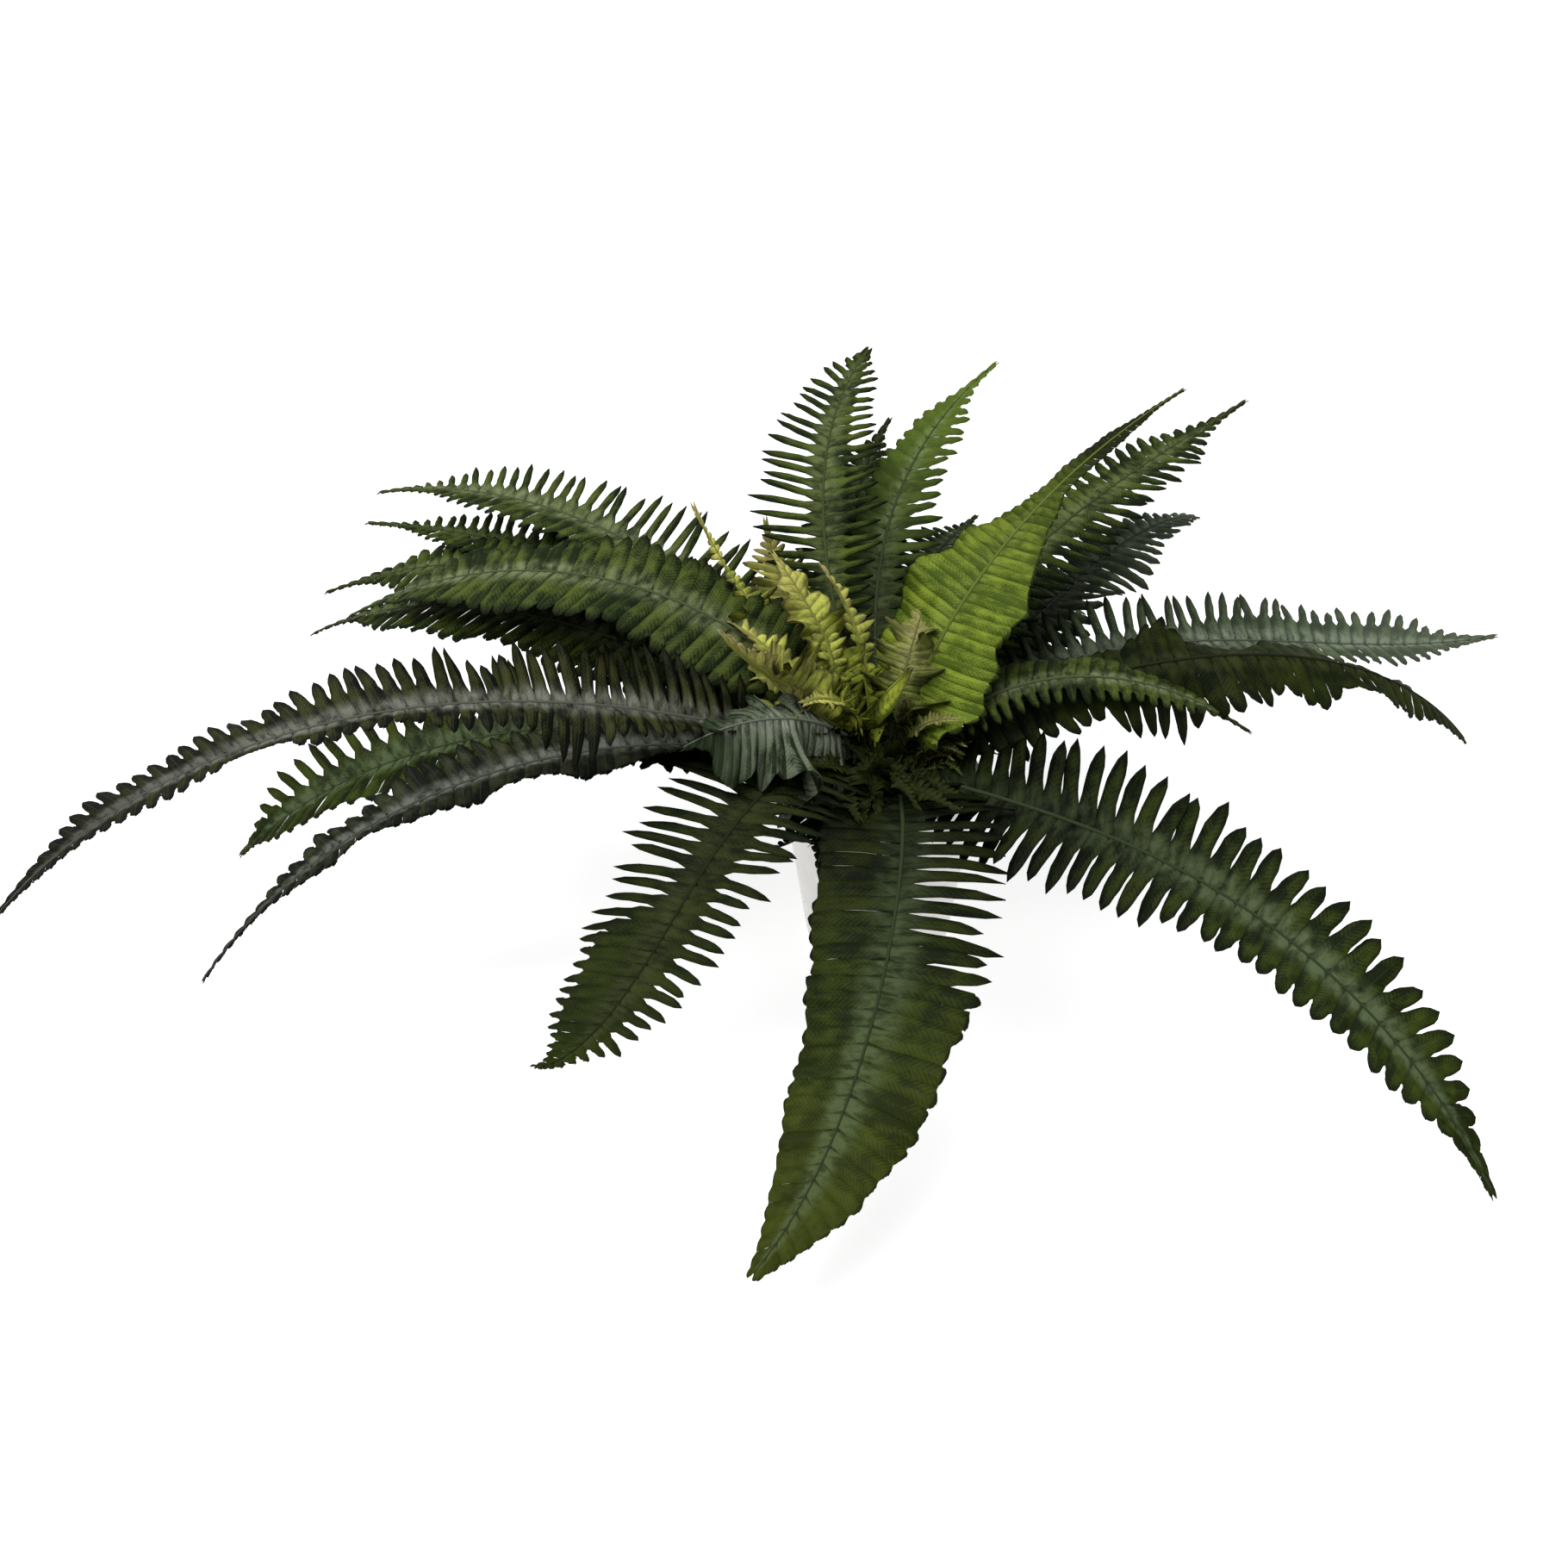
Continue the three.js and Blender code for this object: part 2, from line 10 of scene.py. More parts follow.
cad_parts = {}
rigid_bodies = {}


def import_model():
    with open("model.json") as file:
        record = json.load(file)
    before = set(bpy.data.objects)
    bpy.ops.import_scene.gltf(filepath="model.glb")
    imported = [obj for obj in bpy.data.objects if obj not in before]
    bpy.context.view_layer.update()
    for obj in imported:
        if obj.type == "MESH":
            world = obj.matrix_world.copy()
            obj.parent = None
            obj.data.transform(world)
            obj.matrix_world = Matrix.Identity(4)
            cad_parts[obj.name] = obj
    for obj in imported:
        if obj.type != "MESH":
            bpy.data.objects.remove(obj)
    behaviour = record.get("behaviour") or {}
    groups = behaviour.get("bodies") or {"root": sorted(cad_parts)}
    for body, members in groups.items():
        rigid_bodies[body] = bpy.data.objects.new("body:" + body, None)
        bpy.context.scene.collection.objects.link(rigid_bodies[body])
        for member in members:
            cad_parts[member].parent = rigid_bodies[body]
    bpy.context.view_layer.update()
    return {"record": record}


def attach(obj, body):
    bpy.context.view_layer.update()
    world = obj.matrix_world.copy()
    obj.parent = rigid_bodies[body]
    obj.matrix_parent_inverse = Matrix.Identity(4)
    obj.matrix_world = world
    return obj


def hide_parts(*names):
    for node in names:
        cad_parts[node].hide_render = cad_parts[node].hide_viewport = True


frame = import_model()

MM = 0.001

# ---- sizes of the pot, the soil and the crown, in millimetres ----
POT_BASE_RADIUS = 42
POT_RIM_RADIUS = 60
POT_HEIGHT = 108
POT_RIM_BAND = 15
POT_RIM_STEP = 4
POT_WALL = 3.8
POT_FLOOR = 7
POT_SEGMENTS, SOIL_SEGMENTS, CROWN_SEGMENTS = 96, 72, 40
DRAIN_HOLES = 4
DRAIN_HOLE_RADIUS = 4
DRAIN_HOLE_CIRCLE = 22
SOIL_TOP = 100
SOIL_GAP = 0.5
CROWN_HEIGHT = 23
CROWN_RADIUS = 26

# ---- sizes of a frond, in millimetres ----
STIPE_RADIUS = 1.5
STIPE_DEPTH = 6
SHORTEST_LEAFLET = 1.1
LEAFLET_THICKNESS = 0.5
# the share of a flat leaflet's rows that goes to its joined part
JOINED_ROWS = 0.4
RIB_STEPS, SPRIG_STEPS = 90, 30
LEAFLET_ROWS, SMALL_LEAFLET_ROWS = 10, 4
# places on the blade, from 0 at the first leaflets to 1 at the tip
TAIL_SPAN = (0.25, 0.6)
TIP_SPAN = 0.22
TIP_WEB = 0.92
TIP_WEB_SPAN = (0.86, 0.96)

# ---- the fronds ----
# Lengths are in millimetres, angles in degrees, and of two sides the left one comes first.
# ring and seat place a frond's foot on the crown, heading is where it leaves and swing how far it
# turns on its way, and slope is how steep it is at the foot, the middle and the tip.
# half is the longest leaflet of each side, and lift raises that side. bare is the share of the
# midrib below the first leaflets, pitch the distance from leaflet to leaflet, and cover the width
# of a leaflet's free part for its pitch. web is the share of a leaflet's length that is joined to
# its neighbours, near the foot and near the tip, for both sides or for the left and then the right,
# and join is where on the blade this changes. wave crinkles the blade, droop bends the leaflets'
# ends down and lean tips them forward. swell is the first leaflets' share of the longest and where
# they are full, tail how much each side narrows beyond its middle, full how late the blade narrows,
# and tip how much its end narrows and from where. leaf is the finish.
# young_leaf is only detail and replaces no node. The order of the table sets each frond's seed.
FROND_HABIT = dict(ring=21, bare=0.03, lean=(0, 0), join=(0.38, 0.6), swell=(0.3, 0.2), tail=(0, 0),
                   full=2.3, tip=(0.85, 0.74), droop=0.14)
BACK_FROND = dict(swing=0, half=(38, 38), lift=(10, 10), bare=0.15, pitch=10.0, cover=0.8, wave=0.1,
                  swell=(0.62, 0.17))
FRONDS = {
    "frond_front": dict(
        seat=288, heading=276, swing=-38, length=372, slope=(24, -24, -6), half=(57, 43), lift=(4, 10),
        pitch=10.4, cover=0.82, web=(0.12, 0.95, 0.97, 0.95), join=(0.4, 0.52), wave=0.2, lean=(-12, -4),
        swell=(0.45, 0.14), tip=(0.35, 0.78), leaf="leaf_olive"),
    "frond_front_right": dict(
        seat=318, heading=316, swing=-7, length=437, slope=(9, -4, -50), half=(54, 46), lift=(24, -16),
        pitch=12.4, cover=0.84, web=(0.24, 0.4, 0.28, 0.65), wave=0.14, lean=(-38, 4), swell=(0.45, 0.14),
        tail=(0.1, 0.35), full=2.8, tip=(0.75, 0.8), leaf="leaf_dark"),
    "frond_front_left": dict(
        seat=232, heading=226, swing=15, length=316, slope=(54, -33, 34), half=(46, 50), lift=(4, 22),
        pitch=8.8, cover=0.66, web=(0.3, 0.35, 0.2, 0.78), join=(0.5, 0.62), wave=0.16, lean=(-26, 10),
        swell=(0.45, 0.14), tip=(0.75, 0.76), leaf="leaf_deep"),
    "frond_inner_front": dict(
        ring=13, seat=250, heading=215, swing=-10, length=142, slope=(60, 20, -20), half=(48, 28),
        lift=(-32, 12), bare=0.08, pitch=5.0, cover=0.98, web=(0.95, 0.95, 0.9, 0.9), wave=1.2, droop=0.3,
        swell=(0.62, 0.17), leaf="leaf_sheen"),
    "frond_left_long": dict(
        ring=13, seat=208, heading=206, swing=-6, length=525, slope=(28, 7, -46), half=(25, 36), lift=(0, 44),
        pitch=9.0, cover=0.8, web=(0.3, 0.6, 0.12, 0.5), wave=1.1, tail=(0.15, 0.2), tip=(0.6, 0.84),
        leaf="leaf_brown"),
    "frond_left_1": dict(
        ring=13, seat=138, heading=142, swing=4, length=400, slope=(41, 9, -20), half=(34, 40), lift=(6, 32),
        pitch=9.5, cover=0.55, web=(0.7, 0.75, 0.08, 0.25), wave=0.14, leaf="leaf_grey"),
    "frond_left_2": dict(
        seat=150, heading=147, swing=-4, length=388, slope=(38, 5, -13), half=(34, 36), lift=(6, 28),
        pitch=9.5, cover=0.58, web=(0.7, 0.75, 0.08, 0.25), wave=0.16, leaf="leaf_mid"),
    "frond_left_3": dict(
        ring=13, seat=158, heading=153, swing=-5, length=416, slope=(46, -2, -29), half=(40, 40),
        lift=(-8, 24), pitch=10.0, cover=0.9, web=(0.6, 0.7, 0.5, 0.6), wave=0.2, leaf="leaf_mid"),
    "frond_left_4": dict(
        ring=13, seat=178, heading=163, swing=-14, length=388, slope=(60, -1, -35), half=(44, 40),
        lift=(-4, 20), pitch=10.5, cover=0.9, web=(0.75, 0.8, 0.7, 0.75), wave=0.3, leaf="leaf_grey"),
    "frond_left_5": dict(
        seat=168, heading=159, swing=-10, length=390, slope=(28, 1, -34), half=(42, 40), lift=(2, 16),
        pitch=10.5, cover=0.9, web=(0.75, 0.85, 0.7, 0.75), wave=0.22, leaf="leaf_grey"),
    "frond_left_6": dict(
        seat=186, heading=184, swing=-7, length=382, slope=(21, -8, -47), half=(38, 46), lift=(6, 46),
        pitch=10.5, cover=0.55, web=(0.85, 0.85, 0.12, 0.3), wave=0.14, full=4, tip=(0.8, 0.86),
        leaf="leaf_dark"),
    "frond_left_7": dict(
        seat=206, heading=194, swing=4, length=415, slope=(24, -10, -54), half=(22, 31), lift=(14, 20),
        pitch=10.0, cover=0.85, web=(0.9, 0.9, 0.5, 0.6), wave=0.7, tail=(0.15, 0.15), leaf="leaf_slate"),
    "frond_right_1": dict(
        seat=26, heading=21, swing=-4, length=400, slope=(42, -8, 2), half=(38, 22), lift=(26, -6), pitch=9,
        cover=0.62, web=(0.2, 0.5, 0.4, 0.6), wave=0.2, full=5, tip=(0.85, 0.8), leaf="leaf_pale"),
    "frond_right_2": dict(
        seat=8, heading=-1, swing=35, length=406, slope=(39, -7, -50), half=(28, 36), lift=(0, -30),
        pitch=10.0, cover=0.85, web=(0.85, 0.9, 0.6, 0.85), wave=0.9, tail=(0.0, 0.2), full=4, tip=(0.3, 0.6),
        leaf="leaf_deep"),
    "frond_right_3": dict(
        seat=350, heading=358, swing=8, length=225, slope=(68, 1, -38), half=(24, 17), lift=(10, -30),
        pitch=8, cover=0.7, web=(0.95, 0.95, 0.3, 0.5), wave=0.12, leaf="leaf_grey"),
    "frond_upper_1": dict(
        ring=13, seat=34, heading=35, swing=14, length=306, slope=(76, 30, 4), half=(40, 42), lift=(14, 6),
        pitch=6.6, cover=0.9, web=(0.92, 0.92), wave=0.5, swell=(0.85, 0.12), tail=(0.82, 0.8),
        leaf="leaf_bright"),
    "frond_upper_2": dict(
        ring=13, seat=58, heading=48, swing=-3, length=364, slope=(50, 14, 8), half=(34, 38), lift=(12, 4),
        pitch=9.5, cover=0.75, web=(0.3, 0.5, 0.3, 0.4), wave=0.3, leaf="leaf_mid"),
    "frond_upper_3": dict(
        seat=44, heading=42, swing=10, length=295, slope=(22, 16, -21), half=(34, 36), lift=(14, 4),
        pitch=9.0, cover=0.8, web=(0.5, 0.5), wave=0.6, tip=(0.3, 0.74), leaf="leaf_pale"),
    "frond_top_1": dict(
        ring=6, seat=150, heading=121, swing=-58, length=290, slope=(56, 33, 15), half=(42, 36),
        lift=(14, 14), bare=0.2, pitch=8.2, cover=0.58, web=(0.12, 0.2, 0.3, 0.4), wave=0.16,
        swell=(0.3, 0.35), tip=(0.6, 0.84), leaf="leaf_mid"),
    "frond_top_2": dict(
        ring=6, seat=60, heading=103, swing=-58, length=297, slope=(48, 28, 18), half=(40, 36), lift=(14, 14),
        pitch=9.5, cover=0.7, web=(0.6, 0.8, 0.25, 0.5), wave=0.2, tail=(0.4, 0.15), tip=(0.8, 0.74),
        leaf="leaf_fresh"),
    "frond_top_3": dict(
        ring=13, seat=78, heading=80, swing=-12, length=252, slope=(60, 3, -6), half=(34, 34), lift=(14, 14),
        pitch=9.0, cover=0.75, web=(0.3, 0.4), wave=0.3, leaf="leaf_dark"),
    "frond_top_4": dict(
        ring=13, seat=100, heading=109, swing=-42, length=248, slope=(52, 27, 12), half=(34, 34),
        lift=(14, 14), pitch=9.0, cover=0.78, web=(0.3, 0.5), wave=0.2, leaf="leaf_dark"),
    "young_frond_1": dict(
        ring=6, seat=210, heading=144, swing=-10, length=180, slope=(42, 36, 55), half=(22, 20),
        lift=(16, 16), bare=0.32, pitch=4.4, cover=0.85, web=(0.25, 0.4), wave=2.2, swell=(0.62, 0.17),
        tip=(0.85, 0.4), leaf="leaf_young"),
    "young_frond_2": dict(
        ring=13, seat=119, heading=130, swing=-12, length=150, slope=(40, 38, 70), half=(32, 30),
        lift=(16, 16), bare=0.14, pitch=4.6, cover=0.85, web=(0.25, 0.4), wave=1.8, swell=(0.62, 0.17),
        leaf="leaf_young"),
    "young_frond_3": dict(
        ring=6, seat=330, heading=66, swing=4, length=96, slope=(75, 50, 30), half=(20, 20), lift=(14, 14),
        bare=0.1, pitch=4.0, cover=0.9, web=(0.6, 0.6), wave=2.0, swell=(0.62, 0.17), leaf="leaf_tan"),
    "frond_back_1": dict(
        BACK_FROND, seat=63, heading=62, length=325, slope=(38, -12, -62), web=(0.4, 0.5), leaf="leaf_mid"),
    "frond_back_2": dict(
        BACK_FROND, seat=81, heading=80, length=315, slope=(36, -14, -60), web=(0.5, 0.6), leaf="leaf_dark"),
    "frond_back_3": dict(
        BACK_FROND, seat=100, heading=99, length=330, slope=(38, -14, -60), web=(0.4, 0.5), leaf="leaf_mid"),
    "frond_back_4": dict(
        BACK_FROND, seat=122, heading=121, length=315, slope=(36, -12, -62), cover=0.85, web=(0.6, 0.7),
        wave=0.12, leaf="leaf_olive"),
    "young_leaf": dict(
        ring=6, seat=200, heading=131, swing=14, length=128, slope=(64, 54, 44), half=(20, 18), lift=(10, 24),
        bare=0.14, pitch=5.2, cover=0.95, web=(0.75, 0.93, 0.6, 0.93), wave=1.9, droop=0.3,
        swell=(0.62, 0.17), leaf="leaf_young"),
}

# ---- small fronds that stand among the large ones ----
# spot is the middle of a round patch of the crown and spread its radius, both in millimetres. It
# holds about count small fronds, from smallest to largest times their form's size, which lean out
# from the pot's axis and stray from that by wildness.
TUFTS = {
    "crown_sprigs": dict(leaf="leaf_mid", slot="leaf", seed=3, spot=(6, -4), spread=24, count=60,
                         lean=1.3, smallest=0.35, largest=0.85, wildness=1.0),
    "lower_sprigs": dict(leaf="leaf_deep", slot="leaf", seed=5, spot=(-7, -14), spread=13, count=50,
                         lean=2.2, smallest=0.8, largest=1.5, wildness=1.0),
    "middle_sprigs": dict(leaf="leaf_tan", slot="leaf_young", seed=9, spot=(17, 0), spread=8, count=18,
                          lean=0.6, smallest=0.4, largest=0.9, wildness=1.0),
    "young_sprigs": dict(leaf="leaf_young", slot="leaf_young", seed=4, spot=(-9, -2), spread=6, count=11,
                         lean=0.55, smallest=1.3, largest=2.2, wildness=0.6),
}

# ---- leaf finishes ----
# Each gives five colours in thousandths: a leaflet's deep and bright green, the painted sheen
# along the midrib, the painted shade at the leaflets' edges and the frond's far end. Then come how
# much painted sheen and far colour there is, how much the frond darkens near its foot in painted
# shade, and how much lighter one half of a leaflet is painted than the other as painted light.
LEAF_COLOURS = ("Deep", "Bright", "Bloom", "Edge", "Far")
LEAF_AMOUNTS = ("Bloom Amount", "Far Amount", "Shade", "Ribbing")
FINISHES = {
    "leaf_deep": ((2, 4, 1), (21, 29, 4), (34, 40, 16), (1, 2, 1), (24, 34, 5), 0.4, 0.5, 0.3, 0.2),
    "leaf_dark": ((2, 5, 1), (34, 50, 6), (70, 94, 44), (1, 2, 1), (26, 36, 6), 0.8, 0.3, 0.75, 0.34),
    "leaf_mid": ((5, 10, 2), (66, 95, 12), (100, 125, 46), (1, 3, 1), (14, 20, 5), 0.75, 0.5, 0.2, 0.36),
    "leaf_olive": ((4, 8, 2), (34, 48, 6), (62, 86, 38), (1, 2, 1), (42, 52, 4), 0.95, 0.5, 0.8, 0.12),
    "leaf_grey": ((6, 12, 3), (66, 90, 16), (140, 165, 80), (2, 4, 1), (30, 40, 12), 0.65, 0.3, 0.2, 0.34),
    "leaf_pale": ((6, 12, 4), (75, 105, 48), (160, 190, 135), (2, 3, 1), (120, 145, 100),
                  0.7, 0.5, 0.5, 0.7),
    "leaf_slate": ((4, 6, 3), (45, 52, 24), (170, 180, 150), (1, 2, 1), (6, 7, 5), 0.9, 0.7, 0.3, 0.34),
    "leaf_brown": ((3, 5, 2), (45, 50, 12), (190, 195, 160), (1, 1, 1), (8, 9, 8), 0.9, 0.9, 0.3, 0.4),
    "leaf_bright": ((55, 88, 8), (200, 265, 28), (160, 200, 50), (10, 18, 2), (10, 13, 4),
                    0.3, 2.2, 0.1, 0.24),
    "leaf_young": ((80, 110, 8), (420, 480, 50), (320, 340, 80), (20, 28, 3), (460, 340, 180),
                   0.3, 0.45, 0.3, 0.3),
    "leaf_tan": ((20, 32, 5), (180, 220, 35), (220, 220, 80), (8, 10, 3), (340, 290, 120),
                 0.5, 0.5, 0.3, 0.3),
    "leaf_sheen": ((8, 14, 5), (190, 220, 150), (290, 320, 250), (2, 4, 1), (12, 20, 8),
                   0.6, 1.4, 0.5, 0.5),
    "leaf_fresh": ((4, 9, 2), (44, 68, 11), (100, 125, 60), (2, 4, 1), (110, 165, 18), 0.6, 0.7, 0.6, 0.3),
}

# ---- soil and crown finishes: colours by place on the mottling, which is size metres wide ----
SOIL_FINISH = dict(
    stops=((0.35, (0.018, 0.012, 0.008)), (0.55, (0.06, 0.04, 0.026)), (0.75, (0.13, 0.09, 0.06))),
    size=0.004, detail=5.0, roughness=0.95, strength=0.8, distance=0.002)
SCALE_FINISH = dict(
    stops=((0.3, (0.008, 0.008, 0.004)), (0.6, (0.03, 0.026, 0.012)), (0.8, (0.075, 0.06, 0.03))),
    size=0.003, detail=4.0, roughness=0.8, strength=0.5, distance=0.001)

# ---- studio ----
FLOOR_REACH = 9
# name, place in metres, side in metres and power in watts of each square lamp
LAMPS = (("overhead", (-0.4, -0.1, 2.6), 2.2, 76), ("key", (-2.0, -1.5, 2.4), 1.4, 44),
         ("fill", (2.2, -1.2, 1.3), 1.2, 8))
LAMPS_AIM = Vector((0, 0, 0.12))
SKY_STRENGTH = 0.35
CAMERA_PLACE = (-0.056, -1.3931, 0.905)
CAMERA_PITCH = 60
CAMERA_LENS = 63.3
CAMERA_SENSOR = 36


# ---- building node trees ----
class Value:
    """A number put out by a node, which Python's own signs turn into math nodes of its tree."""

    def __init__(self, tree, socket):
        self.tree, self.socket = tree, socket

    def __add__(self, other):
        return self.tree.math("ADD", self, other)

    def __sub__(self, other):
        return self.tree.math("SUBTRACT", self, other)

    def __rsub__(self, other):
        return self.tree.math("SUBTRACT", other, self)

    def __mul__(self, other):
        return self.tree.math("MULTIPLY", self, other)

    def __truediv__(self, other):
        return self.tree.math("DIVIDE", self, other)

    def __pow__(self, other):
        return self.tree.math("POWER", self, other)


def socket_of(value):
    return value.socket if isinstance(value, Value) else value


def add_node(tree, kind, inputs=None, **settings):
    """Adds a node; inputs maps a socket's name or number to a value or to another socket."""
    node = tree.nodes.new(kind)
    for name, value in settings.items():
        setattr(node, name, value)
    for name, value in (inputs or {}).items():
        value = socket_of(value)
        if isinstance(value, bpy.types.NodeSocket):
            tree.links.new(value, node.inputs[name])
        else:
            node.inputs[name].default_value = value
    return node


class Tree:
    """A node tree built by short calls; inputs and outputs map its sockets' names to what they hold."""

    def __init__(self, name, kind, inputs, outputs):
        self.tree = bpy.data.node_groups.new(name, kind)
        for way, sockets in (("INPUT", inputs), ("OUTPUT", outputs)):
            for label, holds in sockets.items():
                self.tree.interface.new_socket(label, in_out=way, socket_type=f"NodeSocket{holds}")
        self.entry = self.tree.nodes.new("NodeGroupInput").outputs
        self.exit = self.tree.nodes.new("NodeGroupOutput").inputs

    def add(self, kind, inputs=None, **settings):
        return add_node(self.tree, kind, inputs, **settings)

    def put(self, kind, inputs=None, **settings):
        """Adds a node and gives its first output."""
        return self.add(kind, inputs, **settings).outputs[0]

    def values(self, *names):
        """The tree's own inputs of these names."""
        return [Value(self, self.entry[name]) for name in names]

    def math(self, operation, *values):
        return Value(self, self.put("ShaderNodeMath", dict(enumerate(values)), operation=operation))

    def vector(self, operation, *values):
        inputs = {(3 if operation == "SCALE" and i == 1 else i): v for i, v in enumerate(values)}
        return self.put("ShaderNodeVectorMath", inputs, operation=operation)

    def parts(self, vector):
        """The X, Y and Z of a vector."""
        return [Value(self, part) for part in self.add("ShaderNodeSeparateXYZ", {0: vector}).outputs]

    def combine(self, x, y, z=0.0):
        return self.put("ShaderNodeCombineXYZ", {0: x, 1: y, 2: z})

    def noise(self, place, scale, detail):
        inputs = {"Vector": place, "Scale": scale, "Detail": detail}
        return Value(self, self.put("ShaderNodeTexNoise", inputs))

    def between(self, value, low, high, how="LINEAR"):
        """Runs from 0 where value is low to 1 where it is high, and stays so beyond them."""
        inputs = {0: value, 1: low, 2: high}
        return Value(self, self.put("ShaderNodeMapRange", inputs, interpolation_type=how))

    def random(self, seed, low=0.0, high=1.0):
        node = self.add("FunctionNodeRandomValue", {"Seed": seed, 2: low, 3: high}, data_type="FLOAT")
        return Value(self, node.outputs[1])

    def named(self, name, data_type="FLOAT"):
        """A named attribute of the geometry."""
        return Value(self, self.put("GeometryNodeInputNamedAttribute", {"Name": name}, data_type=data_type))

    def store(self, geometry, name, value, domain, data_type="FLOAT"):
        inputs = {"Geometry": geometry, "Name": name, "Value": value}
        return self.put("GeometryNodeStoreNamedAttribute", inputs, data_type=data_type, domain=domain)

    def out(self, **sockets):
        for name, value in sockets.items():
            self.tree.links.new(socket_of(value), self.exit[name])

    def dress(self, geometries, material):
        """Puts out the geometries as one, realised and in their material."""
        joined = self.add("GeometryNodeJoinGeometry")
        for geometry in geometries:
            self.tree.links.new(geometry, joined.inputs[0])
        real = self.put("GeometryNodeRealizeInstances", {0: joined.outputs[0]})
        self.out(Geometry=self.put("GeometryNodeSetMaterial", {"Geometry": real, "Material": material}))


def ramp(tree, factor, *stops):
    """A colour ramp node through (position, colour) stops."""
    node = add_node(tree, "ShaderNodeValToRGB", {0: factor})
    elements = node.color_ramp.elements
    while len(elements) < len(stops):
        elements.new(0.5)
    for element, (position, colour) in zip(elements, stops):
        element.position = position
        element.color = (*colour, 1)
    return node.outputs[0]


def mix(tree, factor, first, second, how="MIX"):
    """One colour laid over another."""
    node = add_node(tree, "ShaderNodeMix", {0: factor, 6: first, 7: second}, data_type="RGBA", blend_type=how)
    return node.outputs[2]


# ---- shader groups ----
def make_mottle_group():
    """Slow and fine mottling of a surface, from 0 to 1, on Object coordinates."""
    t = Tree("mottle", "ShaderNodeTree", {"Size": "Float", "Detail": "Float"}, {"Mask": "Float"})
    size, detail = t.values("Size", "Detail")
    place = t.add("ShaderNodeTexCoord").outputs["Object"]
    t.out(Mask=t.noise(place, t.math("DIVIDE", 1.0, size), detail))
    return t.tree


